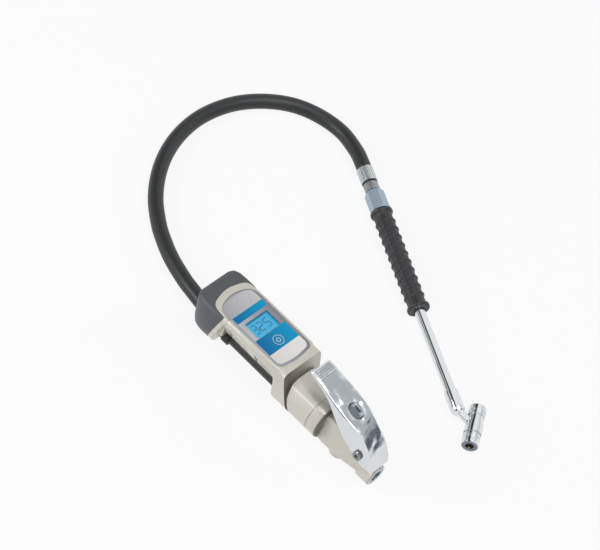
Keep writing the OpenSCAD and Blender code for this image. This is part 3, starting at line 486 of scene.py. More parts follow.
@dataclass(frozen=True)
class Finish:
    """A surface finish with a fine grain and slightly rounded edges.

    Attributes:
        name: What the surface is.
        colour: Its colour as sRGB hex.
        roughness: Roughness of the bare surface.
        metallic: 1 for bare metal, less for passivated plate, metallic lacquer and silver print.
        ior: Index of refraction, left at 1.5 for metal.
        grain: Its fine unevenness.
        edge: Radius to which edges look worn, in millimetres.
        coat: Weight of a clear coat.
        specular: Strength of the surface reflection, less for dulled or anti-glare faces.
        coat_roughness: Roughness of the clear coat.
    """

    name: str
    colour: str
    roughness: float
    metallic: float = 0.0
    ior: float = 1.5
    grain: Grain = Grain(1.0)
    edge: float = 0.25
    coat: float = 0.0
    specular: float = 0.5
    coat_roughness: float = 0.12

    def material(self) -> bpy.types.Material:
        """Makes the material once and gives the same one after that.

        Returns:
            The finish's material.
        """
        found = bpy.data.materials.get(self.name)
        if found:
            return found
        made = empty_material(self.name)
        tree = made.node_tree
        values = {
            "Base Color": linear(self.colour),
            "Roughness": self.roughness,
            "Metallic": self.metallic,
            "IOR": self.ior,
            "Specular IOR Level": self.specular,
            "Coat Weight": self.coat,
            "Coat Roughness": self.coat_roughness,
        }
        shader = add_node(tree, "ShaderNodeBsdfPrincipled", values)
        place = add_node(tree, "ShaderNodeTexCoord").outputs["Object"]
        self.pattern(tree, shader, place)
        add_node(tree, "ShaderNodeOutputMaterial", {"Surface": shader.outputs["BSDF"]})
        made.diffuse_color = linear(self.colour)
        return made

    def pattern(self, tree: bpy.types.NodeTree, shader: bpy.types.Node, place: bpy.types.NodeSocket) -> None:
        """Adds the grain to colour, roughness and normal.

        Args:
            tree: The material's tree.
            shader: Its Principled shader.
            place: Position on the piece in metres, which stays with it when it moves.
        """
        # A grain is half a period of the noise.
        values = {"Vector": place, "Scale": 0.5 / (self.grain.size * MM), "Detail": 4.0, "Roughness": 0.6}
        fine = add_node(tree, "ShaderNodeTexNoise", values).outputs["Fac"]
        values = {"Vector": place, "Scale": 1 / (HANDLING * MM), "Detail": 3.0}
        broad = add_node(tree, "ShaderNodeTexNoise", values).outputs["Fac"]
        self.vary(tree, shader, fine, broad)
        self.relief(tree, shader, place, fine)

    def vary(
        self,
        tree: bpy.types.NodeTree,
        shader: bpy.types.Node,
        fine: bpy.types.NodeSocket,
        broad: bpy.types.NodeSocket,
    ) -> None:
        """Lets colour and roughness wander with a fine and a broad pattern.

        Args:
            tree: The material's tree.
            shader: Its Principled shader.
            fine: Pattern of the grain, 0 to 1.
            broad: Pattern of handling and uneven spraying, 0 to 1.
        """
        mixed = add_node(tree, "ShaderNodeMath", {0: fine, 1: broad}, operation="ADD").outputs[0]
        if self.grain.shade:
            values = {0: mixed, 1: PATTERN_LOW, 2: PATTERN_HIGH, 3: 0.0, 4: 1.0}
            share = add_node(tree, "ShaderNodeMapRange", values).outputs[0]
            dark = linear(self.colour, 1 - self.grain.shade)
            pale = linear(self.colour, 1 + self.grain.shade)
            mix = add_node(tree, "ShaderNodeMix", {0: share, 6: dark, 7: pale}, data_type="RGBA")
            tree.links.new(mix.outputs[2], shader.inputs["Base Color"])
        if self.grain.gloss:
            low, high = self.roughness - self.grain.gloss, self.roughness + self.grain.gloss
            values = {0: mixed, 1: PATTERN_LOW, 2: PATTERN_HIGH, 3: max(SMOOTHEST, low), 4: min(1.0, high)}
            rough = add_node(tree, "ShaderNodeMapRange", values)
            tree.links.new(rough.outputs[0], shader.inputs["Roughness"])

    def relief(
        self,
        tree: bpy.types.NodeTree,
        shader: bpy.types.Node,
        place: bpy.types.NodeSocket,
        height: bpy.types.NodeSocket,
    ) -> None:
        """Eases the edges and, where the grain has a depth, raises the pattern.

        Args:
            tree: The material's tree.
            shader: Its Principled shader.
            place: Position on the piece in metres.
            height: The pattern, 0 to 1.
        """
        normal = self.form(tree, place)
        if self.grain.depth:
            values = {"Strength": 1.0, "Distance": self.grain.depth * MM, "Height": height}
            if normal:
                values["Normal"] = normal
            normal = add_node(tree, "ShaderNodeBump", values).outputs[0]
        if normal:
            tree.links.new(normal, shader.inputs["Normal"])

    def form(self, tree: bpy.types.NodeTree, place: bpy.types.NodeSocket) -> bpy.types.NodeSocket | None:
        """Normal of the bare form with its edges eased, or None where they stay sharp."""
        if not self.edge:
            return None
        return add_node(tree, "ShaderNodeBevel", {"Radius": self.edge * MM}, samples=4).outputs[0]


@dataclass(frozen=True)
class HoseRubber(Finish):
    """Hose cover cured under a wound cloth tape, which leaves a fine slanted weave.

    Attributes:
        lean: Angle of the tape's threads to the hose in degrees.
        marks: Width of the broad marks along the hose in millimetres.
    """

    lean: float = 38.0
    marks: float = 30.0

    def pattern(self, tree: bpy.types.NodeTree, shader: bpy.types.Node, place: bpy.types.NodeSocket) -> None:
        """Draws the tape's weave along and around the tube.

        Args:
            tree: The material's tree.
            shader: Its Principled shader.
            place: Position on the piece in metres.
        """
        run = add_node(tree, "ShaderNodeUVMap", uv_map="run").outputs[0]
        waves = []
        for lean in (self.lean, -self.lean):
            values = {"Vector": run, "Rotation": (0, 0, math.radians(lean))}
            turned = add_node(tree, "ShaderNodeMapping", values).outputs[0]
            # A wave texture repeats every 0.314 units at scale 1.
            values = {"Vector": turned, "Scale": 0.314 / (self.grain.size * MM), "Distortion": 0.4}
            waves.append(add_node(tree, "ShaderNodeTexWave", values).outputs["Fac"])
        weave = add_node(tree, "ShaderNodeMath", {0: waves[0], 1: waves[1]}, operation="MULTIPLY").outputs[0]
        values = {"Vector": place, "Scale": 1 / (self.marks * MM), "Detail": 4.0}
        cloud = add_node(tree, "ShaderNodeTexNoise", values).outputs["Fac"]
        self.vary(tree, shader, weave, cloud)
        self.relief(tree, shader, place, weave)


@dataclass(frozen=True)
class PressedPlate(Finish):
    """Chrome plate on a pressing that is drawn in softly round its dimple.

    Attributes:
        inner: Radius of the dimple itself, in millimetres.
        outer: Radius at which the drawn-in skin is level again.
        drawn: Depth to which the skin is drawn in.
        smear: Width of the smears that polishing leaves.
    """

    inner: float = 5.5
    outer: float = 14.0
    drawn: float = 0.9
    smear: float = 3.0

    def pattern(self, tree: bpy.types.NodeTree, shader: bpy.types.Node, place: bpy.types.NodeSocket) -> None:
        """Gives the plate long, shallow waves instead of a grain.

        Args:
            tree: The material's tree.
            shader: Its Principled shader.
            place: Position on the piece in metres.
        """
        values = {"Vector": place, "Scale": 1 / (self.grain.size * MM), "Detail": 0.0, "Distortion": 0.6}
        wave = add_node(tree, "ShaderNodeTexNoise", values).outputs["Fac"]
        values = {"Vector": place, "Scale": 1 / (self.smear * MM), "Detail": 2.0}
        smear = add_node(tree, "ShaderNodeTexNoise", values).outputs["Fac"]
        self.vary(tree, shader, smear, wave)
        self.relief(tree, shader, place, wave)

    def form(self, tree: bpy.types.NodeTree, place: bpy.types.NodeSocket) -> bpy.types.NodeSocket | None:
        """Adds the drawn-in skin round the dimple to the eased edges.

        Args:
            tree: The material's tree.
            place: Position on the piece in metres.

        Returns:
            Normal of the drawn-in form.
        """
        middle = tuple(c * MM for c in DIMPLE_AT)
        away = add_node(tree, "ShaderNodeVectorMath", {0: place, 1: middle}, operation="DISTANCE")
        values = {0: away.outputs["Value"], 1: self.inner * MM, 2: self.outer * MM, 3: 0.0, 4: 1.0}
        level = add_node(tree, "ShaderNodeMapRange", values, interpolation_type="SMOOTHSTEP").outputs[0]
        values = {"Strength": 1.0, "Distance": self.drawn * MM, "Height": level}
        eased = super().form(tree, place)
        if eased:
            values["Normal"] = eased
        return add_node(tree, "ShaderNodeBump", values).outputs[0]


@dataclass(frozen=True)
class BandOfPrintAndPaintedLight(Finish):
    """Surface whose colour changes from one side of the body to the other: printed gradients on the label,
    painted shade on the housing's front face and a painted reflection on the label's border and display
    surround.

    Attributes:
        far_colour: Its colour on the +Y side, where the hose loops back, as sRGB hex.
        reach: Distance from the middle at which either colour is full, in millimetres.
    """

    far_colour: str = "#ffffff"
    reach: float = 19.0

    def pattern(self, tree: bpy.types.NodeTree, shader: bpy.types.Node, place: bpy.types.NodeSocket) -> None:
        """Blends the two colours across the body.

        Args:
            tree: The material's tree.
            shader: Its Principled shader.
            place: Position on the piece in metres.
        """
        axes = add_node(tree, "ShaderNodeSeparateXYZ", {0: place})
        values = {0: axes.outputs["Y"], 1: -self.reach * MM, 2: self.reach * MM, 3: 0.0, 4: 1.0}
        across = add_node(tree, "ShaderNodeMapRange", values).outputs[0]
        values = {0: across, 6: linear(self.colour), 7: linear(self.far_colour)}
        mix = add_node(tree, "ShaderNodeMix", values, data_type="RGBA")
        tree.links.new(mix.outputs[2], shader.inputs["Base Color"])
        values = {"Vector": place, "Scale": 1 / (self.grain.size * MM), "Detail": 3.0}
        noise = add_node(tree, "ShaderNodeTexNoise", values).outputs["Fac"]
        self.relief(tree, shader, place, noise)


@dataclass(frozen=True)
class Backlight(Finish):
    """Liquid crystal panel lit from behind, with a faint unevenness.

    Attributes:
        bare: Colour of the unlit panel, as sRGB hex.
        glow: Strength of its light.
        dim: Share of the light in its weaker spots.
    """

    bare: str = "#00303f"
    glow: float = 1.0
    dim: float = 0.86

    def pattern(self, tree: bpy.types.NodeTree, shader: bpy.types.Node, place: bpy.types.NodeSocket) -> None:
        """Lets the panel shine in its own colour.

        Args:
            tree: The material's tree.
            shader: Its Principled shader.
            place: Position on the piece in metres.
        """
        values = {"Vector": place, "Scale": 1 / (self.grain.size * MM), "Detail": 2.0}
        cloud = add_node(tree, "ShaderNodeTexNoise", values).outputs["Fac"]
        values = {0: cloud, 6: linear(self.colour, self.dim), 7: linear(self.colour)}
        mix = add_node(tree, "ShaderNodeMix", values, data_type="RGBA")
        tree.links.new(mix.outputs[2], shader.inputs["Emission Color"])
        shader.inputs["Base Color"].default_value = linear(self.bare)
        shader.inputs["Emission Strength"].default_value = self.glow


@dataclass(frozen=True)
class ClearWindow(Finish):
    """Moulded acrylic lens: clear, with a hard polished face."""

    def pattern(self, tree: bpy.types.NodeTree, shader: bpy.types.Node, place: bpy.types.NodeSocket) -> None:
        """Makes the body clear and leaves a faint waviness on the face.

        Args:
            tree: The material's tree.
            shader: Its Principled shader.
            place: Position on the piece in metres.
        """
        shader.inputs["Transmission Weight"].default_value = 1.0
        values = {"Vector": place, "Scale": 1 / (self.grain.size * MM), "Detail": 1.0}
        wave = add_node(tree, "ShaderNodeTexNoise", values).outputs["Fac"]
        self.relief(tree, shader, place, wave)


class Surface(Enum):
    """The finishes on this inflator.

    Each gives its name, colour, roughness, metallic share, index of refraction, grain, edge and coat.
    Grains that are finer than about half a millimetre on the real piece are drawn at the coarser size
    that is written, so that they show.
    """

    # Die-cast alloy sprayed with a warm metallic lacquer: soft sheen, a faint sparkle of flake.
    # The flake is about 0.05 mm; it is drawn at 0.7 mm so that it shows.
    LACQUER = Finish(
        "satin_lacquered_casting", "#cbc8bf", 0.34, 0.45, 1.5, Grain(0.7, 0.006, 0.035, 0.05), 0.5, 0.12
    )
    # The same casting where it faces the handle: dull, with painted shade that darkens it, most towards -Y.
    SHADED_FRONT_FACE = BandOfPrintAndPaintedLight(
        "painted_shade_front_face", "#827c70", 0.5, 0.35, 1.5, Grain(0.8, 0.02), 0.0, far_colour="#c9c7c0", reach=17.0
    )
    # The step down to the nose, under the lever: darker and duller, the darker colour painted shade under the
    # lever.
    SHADED_STEP = Finish("painted_shade_step", "#77726a", 0.5, 0.35, 1.5, Grain(0.9, 0.02, 0.08, 0.06), 0.4)
    # Glass-filled nylon from a spark-eroded mould: dark grey, an even fine texture that breaks the gloss.
    NYLON = Finish(
        "spark_textured_nylon", "#54585b", 0.44, 0.0, 1.53, Grain(0.5, 0.02, 0.06, 0.06), 0.6, specular=0.35
    )
    # Polished chrome plate on pressed steel: mirror bright with faint polishing haze.
    CHROME = Finish("polished_chrome_plate", "#dfe2e4", 0.08, 1.0, 1.5, Grain(2.5, 0.003, 0.02, 0.03), 0.3)
    # The same plate on the pressed lever, whose drawn steel leaves it slightly wavy.
    LEVER = PressedPlate(
        "chrome_plate_on_pressing", "#d8dcdf", 0.13, 1.0, 1.5, Grain(13.0, 1.1, 0.03, 0.02), 0.25
    )
    # Floor of the formed dimple: darker and duller, the darker colour painted shade in the dish.
    DIMPLE = Finish("dull_plate_and_painted_shade", "#7c828a", 0.26, 1.0, 1.5, Grain(2.6, 0.05, 0.1, 0.05), 0.0)
    # Floors of the pressed grip lines, where the plate stays matt.
    LINES = Finish("matt_plate_in_lines", "#b6babc", 0.4, 1.0, 1.5, Grain(1.2, 0.01, 0.05, 0.05), 0.0)
    # Blue-passivated zinc on turned steel: soft metallic sheen with a cool cast.
    ZINC = Finish("blue_passivated_zinc", "#a3b5c1", 0.42, 0.8, 1.5, Grain(2.2, 0.004, 0.04, 0.05), 0.35)
    # Knurled steel left in its plain grey plate, dirt in the valleys.
    KNURL = Finish("knurled_plated_steel", "#a0a4a6", 0.3, 0.95, 1.5, Grain(0.8, 0.05, 0.12, 0.06), 0.15)
    # Natural zinc on a crimped steel ferrule: bright grey and slightly uneven.
    FERRULE = Finish("bright_zinc_ferrule", "#cdd0d2", 0.24, 0.97, 1.5, Grain(1.8, 0.012, 0.04, 0.04), 0.25)
    # Bare steel of the pivot screw, bright on its edges and grey in its socket.
    STEEL = Finish("plain_steel_screw", "#8f9290", 0.24, 1.0, 1.5, Grain(0.8, 0.01, 0.06, 0.05), 0.3)
    # Hard-drawn spring wire, bright from the die.
    SPRING = Finish("drawn_spring_wire", "#b9bcbd", 0.28, 1.0, 1.5, Grain(0.5, 0.004, 0.05, 0.05), 0.0)
    # Turned brass, unplated: yellow, with a soft shine.
    BRASS = Finish("turned_brass", "#c8a35a", 0.25, 1.0, 1.5, Grain(0.6, 0.003, 0.05, 0.05), 0.2)
    # Hose cover of cloth-wrapped rubber: black, with a dull sheen that the weave breaks up.
    # The real weave is about 0.6 mm; it is drawn at 1.6 mm so that it shows.
    HOSE = HoseRubber("wrapped_rubber_hose", "#1d1f21", 0.44, 0.0, 1.52, Grain(1.6, 0.05, 0.16, 0.07), 0.0)
    # Moulded rubber grip sleeve: near black, satin on its rings.
    GRIP = Finish("moulded_grip_rubber", "#26262a", 0.42, 0.0, 1.52, Grain(0.9, 0.03, 0.12, 0.08), 0.3)
    # Soft nitrile seals and grommets: black and matt.
    SEAL = Finish("nitrile_rubber", "#26272a", 0.55, 0.0, 1.52, Grain(0.8, 0.02, 0.08, 0.05), 0.2)
    # Screen-printed polyester film: silver ground, smooth and faintly glossy.
    SILVER_FILM = BandOfPrintAndPaintedLight(
        "silver_printed_film", "#acacb1", 0.34, 0.25, 1.55, Grain(0.8, 0.002), 0.0, far_colour="#cac9cb"
    )
    # The same film printed in process blue, on the bands and over the button.
    BLUE_FILM = BandOfPrintAndPaintedLight(
        "blue_printed_film", "#006ea8", 0.3, 0.0, 1.5, Grain(0.8, 0.002), 0.0, specular=0.25,
        far_colour="#00a0d2",
    )  # fmt: skip
    # The same film printed in opaque white.
    WHITE_FILM = BandOfPrintAndPaintedLight(
        "white_printed_film", "#e4e2e0", 0.32, 0.0, 1.55, Grain(0.8, 0.002), 0.0, far_colour="#f1f0ee"
    )
    # Border of the film, printed grey over the recess in the casting, with a painted reflection that makes it
    # paler and bluer towards -Y.
    BORDER_FILM = BandOfPrintAndPaintedLight(
        "grey_film_border_painted_reflection", "#a3a8b0", 0.36, 0.0, 1.55, Grain(0.8, 0.004), 0.2, far_colour="#88868a"
    )
    # The film's surround of the display, silver fading to grey; the silver towards -Y is a painted
    # reflection.
    FRAME_FILM = BandOfPrintAndPaintedLight(
        "display_surround_film_painted_reflection", "#bcc0c6", 0.34, 0.2, 1.55, Grain(0.8, 0.002), 0.0, far_colour="#86868c"
    )
    # Painted shadow of the window's wall on the display: a deep blue line along two sides of the window.
    WINDOW_SHADOW = Finish("painted_window_shadow", "#14668f", 0.35, 0.0, 1.55, Grain(0.8, 0.0, 0.06), 0.0)
    # Floor of the side panels, cast with a fine stipple and left a cooler grey-green than the walls.
    STIPPLE = Finish("stippled_panel_floor", "#b4b7ac", 0.42, 0.3, 1.5, Grain(0.9, 0.03, 0.05, 0.06), 0.0)
    # Painted shade in the joints between the castings: a dark band in the groove behind the handle shell, and
    # the dark seam line in front of it, partly the real joint and partly painted shade.
    JOINT_SHADE = Finish("painted_joint_shade", "#6f6a60", 0.6, 0.0, 1.5, Grain(0.8, 0.02, 0.12, 0.05), 0.0)
    # Backlit liquid crystal panel: bright sky blue from inside, with broad, faint spots.
    PANEL = Backlight("backlit_display_panel", "#00aedc", 0.6, 0.0, 1.5, Grain(9.0), specular=0.0)
    # Its segments, darker than the panel and without a shine of their own.
    SEGMENT = Finish("display_segments", "#05567f", 0.6, 0.0, 1.5, Grain(0.5, 0.0, 0.04), 0.0, specular=0.0)
    # Acrylic window: clear, with a weak reflection and a slight waviness.
    LENS = ClearWindow("acrylic_lens", "#e8faff", 0.0, 0.0, 1.49, Grain(12.0, 0.01), specular=0.1)
    # Matt ABS mouldings inside the housing: near black.
    ABS = Finish("black_abs", "#2c2d30", 0.55, 0.0, 1.53, Grain(0.4, 0.015, 0.06, 0.05), 0.2)
    # Glass-epoxy board under solder resist: green, with a satin shine.
    BOARD = Finish("solder_resist_board", "#2d6b3f", 0.4, 0.0, 1.55, Grain(1.0, 0.01, 0.1, 0.05), 0.1)
    # Printed jacket of a dry cell: blue, with a soft metallic sheen.
    CELL = Finish("cell_jacket", "#3f6fa0", 0.3, 0.2, 1.5, Grain(3.0, 0.0, 0.05, 0.03), 0.2)
    # Silicone tube to the sensor: milky and soft.
    SILICONE = Finish("silicone_tube", "#e3ded2", 0.45, 0.0, 1.43, Grain(1.0, 0.01, 0.04, 0.05), 0.1)

    def dress(self, obj: bpy.types.Object) -> None:
        """Gives every material slot of a piece this finish.

        Args:
            obj: The piece.
        """
        made = self.value.material()
        if not obj.data.materials:
            obj.data.materials.append(made)
        for slot in obj.material_slots:
            slot.link = "DATA"
            slot.material = made


# ---------------------------------------------------------------------------
# Smooth shading for machined and cast pieces
# ---------------------------------------------------------------------------


def shading_group() -> bpy.types.NodeTree:
    """Node group that shades smoothly wherever two faces meet at less than the smooth angle.

    Returns:
        The node group for a modifier, made once.
    """
    name = f"shade_smooth_{round(SMOOTH_ANGLE)}"
    found = bpy.data.node_groups.get(name)
    if found:
        return found
    tree = bpy.data.node_groups.new(name, "GeometryNodeTree")
    tree.interface.new_socket("Geometry", in_out="INPUT", socket_type="NodeSocketGeometry")
    tree.interface.new_socket("Geometry", in_out="OUTPUT", socket_type="NodeSocketGeometry")
    start = add_node(tree, "NodeGroupInput")
    joined = add_node(tree, "GeometryNodeMergeByDistance", {0: start.outputs[0], "Distance": WELD})
    bend = add_node(tree, "GeometryNodeInputMeshEdgeAngle").outputs["Unsigned Angle"]
    values = {0: bend, 1: math.radians(SMOOTH_ANGLE)}
    soft = add_node(tree, "FunctionNodeCompare", values, data_type="FLOAT", operation="LESS_EQUAL")
    values = {0: joined.outputs[0], "Shade Smooth": True}
    faces = add_node(tree, "GeometryNodeSetShadeSmooth", values, domain="FACE")
    values = {0: faces.outputs[0], "Shade Smooth": soft.outputs[0]}
    edges = add_node(tree, "GeometryNodeSetShadeSmooth", values, domain="EDGE")
    add_node(tree, "NodeGroupOutput", {0: edges.outputs[0]})
    return tree


def shade_smooth(obj: bpy.types.Object) -> None:
    """Adds the smooth shading modifier to a piece."""
    obj.modifiers.new("shading", "NODES").node_group = shading_group()


# ---------------------------------------------------------------------------
# Studio
# ---------------------------------------------------------------------------


@dataclass(frozen=True)
class Card:
    """A card that only polished surfaces pick up, so that plating shows its form.

    Attributes:
        name: The card's name.
        place: Its centre in metres.
        size: Its width and height in metres.
        colour: How bright it looks in a reflection, as sRGB hex.
        core: Share of its half width that is full, before the soft edge.
    """

    name: str
    place: Point
    size: tuple[float, float]
    colour: str
    core: float = 0.55

    def material(self) -> bpy.types.Material:
        """Makes an even light of the card's colour that fades out towards its edges.

        Returns:
            The card's material.
        """
        made = empty_material(self.name)
        tree = made.node_tree
        run = add_node(tree, "ShaderNodeUVMap", uv_map="card").outputs[0]
        axes = add_node(tree, "ShaderNodeSeparateXYZ", {0: run})
        fades = []
        for axis in ("X", "Y"):
            reach = add_node(tree, "ShaderNodeMath", {0: axes.outputs[axis]}, operation="ABSOLUTE")
            values = {0: reach.outputs[0], 1: self.core, 2: 1.0, 3: 1.0, 4: 0.0}
            fade = add_node(tree, "ShaderNodeMapRange", values, interpolation_type="SMOOTHSTEP")
            fades.append(fade.outputs[0])
        share = add_node(tree, "ShaderNodeMath", {0: fades[0], 1: fades[1]}, operation="MULTIPLY").outputs[0]
        clear = add_node(tree, "ShaderNodeBsdfTransparent").outputs[0]
        light = add_node(tree, "ShaderNodeEmission", {"Color": linear(self.colour), "Strength": 1.0})
        worn = add_node(tree, "ShaderNodeMixShader", {0: share, 1: clear, 2: light.outputs[0]})
        add_node(tree, "ShaderNodeOutputMaterial", {"Surface": worn.outputs[0]})
        return made

    def hang(self, target: Vector) -> None:
        """Makes the card.

        Args:
            target: Point that it faces, in metres.
        """
        wide, high = (s / 2 for s in self.size)
        corners = [(p.x, p.y, 0.0) for p in rectangle(-wide, wide, -high, high)]
        card = mesh_object(self.name, corners, [(0, 1, 2, 3)], smooth=False)
        toward = (target - Vector(self.place)).to_track_quat("Z", "Y").to_matrix().to_4x4()
        card.data.transform(Matrix.Translation(self.place) @ toward)
        card.visible_camera = False
        card.visible_diffuse = False
        card.visible_shadow = False
        card.visible_transmission = False
        uv = card.data.uv_layers.new(name="card")
        for loop in card.data.loops:
            uv.data[loop.index].uv = rectangle(-1, 1, -1, 1)[loop.vertex_index]
        card.data.materials.append(self.material())


@dataclass(frozen=True)
class SoftBox:
    """A square lamp.

    Attributes:
        name: The lamp's name.
        place: Its centre in metres.
        size: Its width in metres.
        watts: Its power.
    """

    name: str
    place: Point
    size: float
    watts: float

    def hang(self, target: Vector) -> None:
        """Makes the lamp.

        Args:
            target: Point that it faces, in metres.
        """
        data = bpy.data.lights.new(self.name, "AREA")
        data.shape = "SQUARE"
        data.size = self.size
        data.energy = self.watts
        lamp = bpy.data.objects.new(self.name, data)
        lamp.location = self.place
        lamp.rotation_euler = (target - Vector(self.place)).to_track_quat("-Z", "Y").to_euler()
        bpy.context.scene.collection.objects.link(lamp)


@dataclass
class Studio:
    """Camera, lamps, cards, floor and surroundings.

    Attributes:
        eye: Camera place in metres.
        turn: Camera rotation about X, Y and Z in degrees.
        lens: Focal length for a 36 mm wide sensor.
        floor: Height of the floor in metres.
        floor_half: Half the floor's width in metres.
        floor_white: Share of pure white in the floor where it is seen.
        low_glow: Strength of the surroundings' light near the horizon.
        high_glow: Strength of their light overhead.
        middle: Where lamps and cards face, in metres.
        lamps: A key low on the left, a fill overhead and a rim from behind.
        cards: What the plating mirrors besides the white surroundings.
    """

    eye: Point = (0.53807, -1.41894, 2.07567)
    turn: Point = (36.7756, -14.4606, 44.2709)
    lens: float = 172.665
    floor: float = -12 * MM
    floor_half: float = 6.0
    floor_white: float = 0.88
    low_glow: float = 0.44
    high_glow: float = 0.16
    middle: Point = (-0.15, 0.1, 0.0)
    lamps: tuple[SoftBox, ...] = (
        SoftBox("key_softbox", (-1.3, -1.5, 0.95), 0.9, 26.0),
        SoftBox("top_softbox", (0.35, 0.1, 1.9), 1.3, 13.0),
        SoftBox("rim_softbox", (0.9, 1.5, 0.8), 0.7, 7.0),
    )
    cards: tuple[Card, ...] = (
        Card("ceiling_flag", (0.95, 1.5, 2.3), (2.8, 2.2), "#c6c8ca"),
        Card("rear_flag", (1.0, 0.9, 0.72), (2.4, 0.95), "#5c626b", 0.3),
        Card("front_flag", (0.16, -1.12, 0.8), (1.3, 1.1), "#202224", 0.2),
        Card("left_flag", (-0.98, -0.3, 1.08), (1.5, 0.95), "#303436", 0.3),
        Card("low_flag", (-1.26, -0.61, 0.45), (1.6, 0.8), "#9ca1a3", 0.5),
        Card("side_flag", (-1.04, 0.55, 0.96), (0.8, 0.85), "#3a3e41", 0.4),
        Card("far_flag", (-1.4, 0.33, 0.42), (1.0, 0.7), "#979c9e", 0.6),
    )

    def build(self) -> None:
        """Makes everything that isn't part of the object."""
        self.camera()
        self.world()
        self.ground()
        for hung in (*self.lamps, *self.cards):
            hung.hang(Vector(self.middle))

    def camera(self) -> None:
        """Places the camera."""
        data = bpy.data.cameras.new("camera")
        data.sensor_width = 36
        data.sensor_fit = "HORIZONTAL"
        data.lens = self.lens
        data.clip_start = 0.05
        data.clip_end = 50
        obj = bpy.data.objects.new("camera", data)
        obj.location = self.eye
        obj.rotation_euler = tuple(math.radians(a) for a in self.turn)
        bpy.context.scene.collection.objects.link(obj)
        bpy.context.scene.camera = obj

    def world(self) -> None:
        """White surroundings to look at, and a softer light from them, warm below and cool above."""
        world = bpy.data.worlds.new("surroundings")
        world.use_nodes = True
        tree = world.node_tree
        tree.nodes.clear()
        way = add_node(tree, "ShaderNodeTexCoord").outputs["Generated"]
        up = add_node(tree, "ShaderNodeSeparateXYZ", {0: way}).outputs["Z"]
        horizon, overhead = 0.05, 0.95
        values = {0: up, 1: horizon, 2: overhead, 3: self.low_glow, 4: self.high_glow}
        fall = add_node(tree, "ShaderNodeMapRange", values).outputs[0]
        values = {0: up, 6: linear("#fff7e6"), 7: linear("#e9eff9")}
        tint = add_node(tree, "ShaderNodeMix", values, data_type="RGBA").outputs[2]
        soft = add_node(tree, "ShaderNodeBackground", {"Color": tint, "Strength": fall}).outputs[0]
        values = {"Color": linear("#ffffff"), "Strength": 1.0}
        bare = add_node(tree, "ShaderNodeBackground", values).outputs[0]
        mix = add_node(tree, "ShaderNodeMixShader", {0: seen_straight(tree), 1: soft, 2: bare})
        add_node(tree, "ShaderNodeOutputWorld", {"Surface": mix.outputs[0]})
        bpy.context.scene.world = world

    def ground(self) -> None:
        """White floor that shows only the object's soft shadow."""
        half = self.floor_half
        corners = [(p.x, p.y, self.floor) for p in rectangle(-half, half, -half, half)]
        floor = mesh_object("floor", corners, [(0, 1, 2, 3)], smooth=False)
        made = empty_material("white_floor")
        tree = made.node_tree
        values = {0: seen_straight(tree), 1: self.floor_white}
        share = add_node(tree, "ShaderNodeMath", values, operation="MULTIPLY").outputs[0]
        matt = add_node(tree, "ShaderNodeBsdfDiffuse", {"Color": linear("#f4f4f4")}).outputs[0]
        white = add_node(tree, "ShaderNodeEmission", {"Color": linear("#ffffff"), "Strength": 1.0}).outputs[0]
        mix = add_node(tree, "ShaderNodeMixShader", {0: share, 1: matt, 2: white})
        add_node(tree, "ShaderNodeOutputMaterial", {"Surface": mix.outputs[0]})
        floor.data.materials.append(made)


# ---------------------------------------------------------------------------
# Sub-assemblies
# ---------------------------------------------------------------------------


@dataclass
class Assembly:
    """A group of pieces that are made together.

    Attributes:
    """

    frame: dict[str, Any]

    def node(self, name: str) -> bpy.types.Object:
        """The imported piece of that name."""
        return self.frame["nodes"][name]

    def finish_nodes(self, finishes: dict[str, Surface]) -> None:
        """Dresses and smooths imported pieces.

        Args:
            finishes: Piece name to its finish.
        """
        for name, surface in finishes.items():
            surface.dress(self.node(name))
            shade_smooth(self.node(name))
            log.info("dressed %s as %s", name, surface.name.lower())

    def add_piece(
        self, obj: bpy.types.Object, surface: Surface, body: str, slot: str, *nodes: str
    ) -> None:
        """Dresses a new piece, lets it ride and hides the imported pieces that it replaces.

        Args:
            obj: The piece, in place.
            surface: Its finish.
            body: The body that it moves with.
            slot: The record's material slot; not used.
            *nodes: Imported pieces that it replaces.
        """
        surface.dress(obj)
        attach(obj, body)
        if nodes:
            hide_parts(*nodes)
        log.info("made %s", obj.name)

    def patch(
        self,
        name: str,
        node: str,
        keep: Keep,
        surface: Surface,
        slot: str,
        *,
        lift: float = 0.03,
        body: str = "body",
        span: Span = (),
    ) -> None:
        """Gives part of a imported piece's skin a finish of its own.

        Args:
            name: The patch's name.
            node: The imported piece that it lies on.
            keep: Tells from a face's centre and normal whether it belongs to the patch.
            surface: The patch's finish.
            slot: The record's material slot.
            lift: Height above the skin in millimetres.
            body: The body that it moves with.
            span: Range along X in millimetres to which the skin is trimmed first, where there is one.
        """
        self.add_piece(skin_patch(name, self.node(node), lift, keep, span), surface, body, slot)

    def spring(self, name: str, node: str, joint: str, travel: float, centre: Point, axis: Vector) -> None:
        """Makes a coil from the packed spring's skin beyond a centre, in place of the spring.

        Args:
            name: The coil's name.
            node: Packed spring, or pair of springs, that it stands for.
            joint: Joint that presses it; not used.
            travel: How far its free end moves, in millimetres; not used.
            centre: Point in millimetres beyond the coil's fixed end.
            axis: Direction from the fixed end to the free end.
        """
        start = Vector(centre) * MM

        def beyond(middle: Vector, normal: Vector) -> bool:
            """Whether a face lies on the coil's side of the centre."""
            return (middle - start).dot(axis) > 0

        coil = skin_patch(name, self.node(node), 0.0, beyond)
        coil.data.polygons.foreach_set("use_smooth", [True] * len(coil.data.polygons))
        self.add_piece(coil, Surface.SPRING, "body", "zinc", node)
        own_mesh(coil)


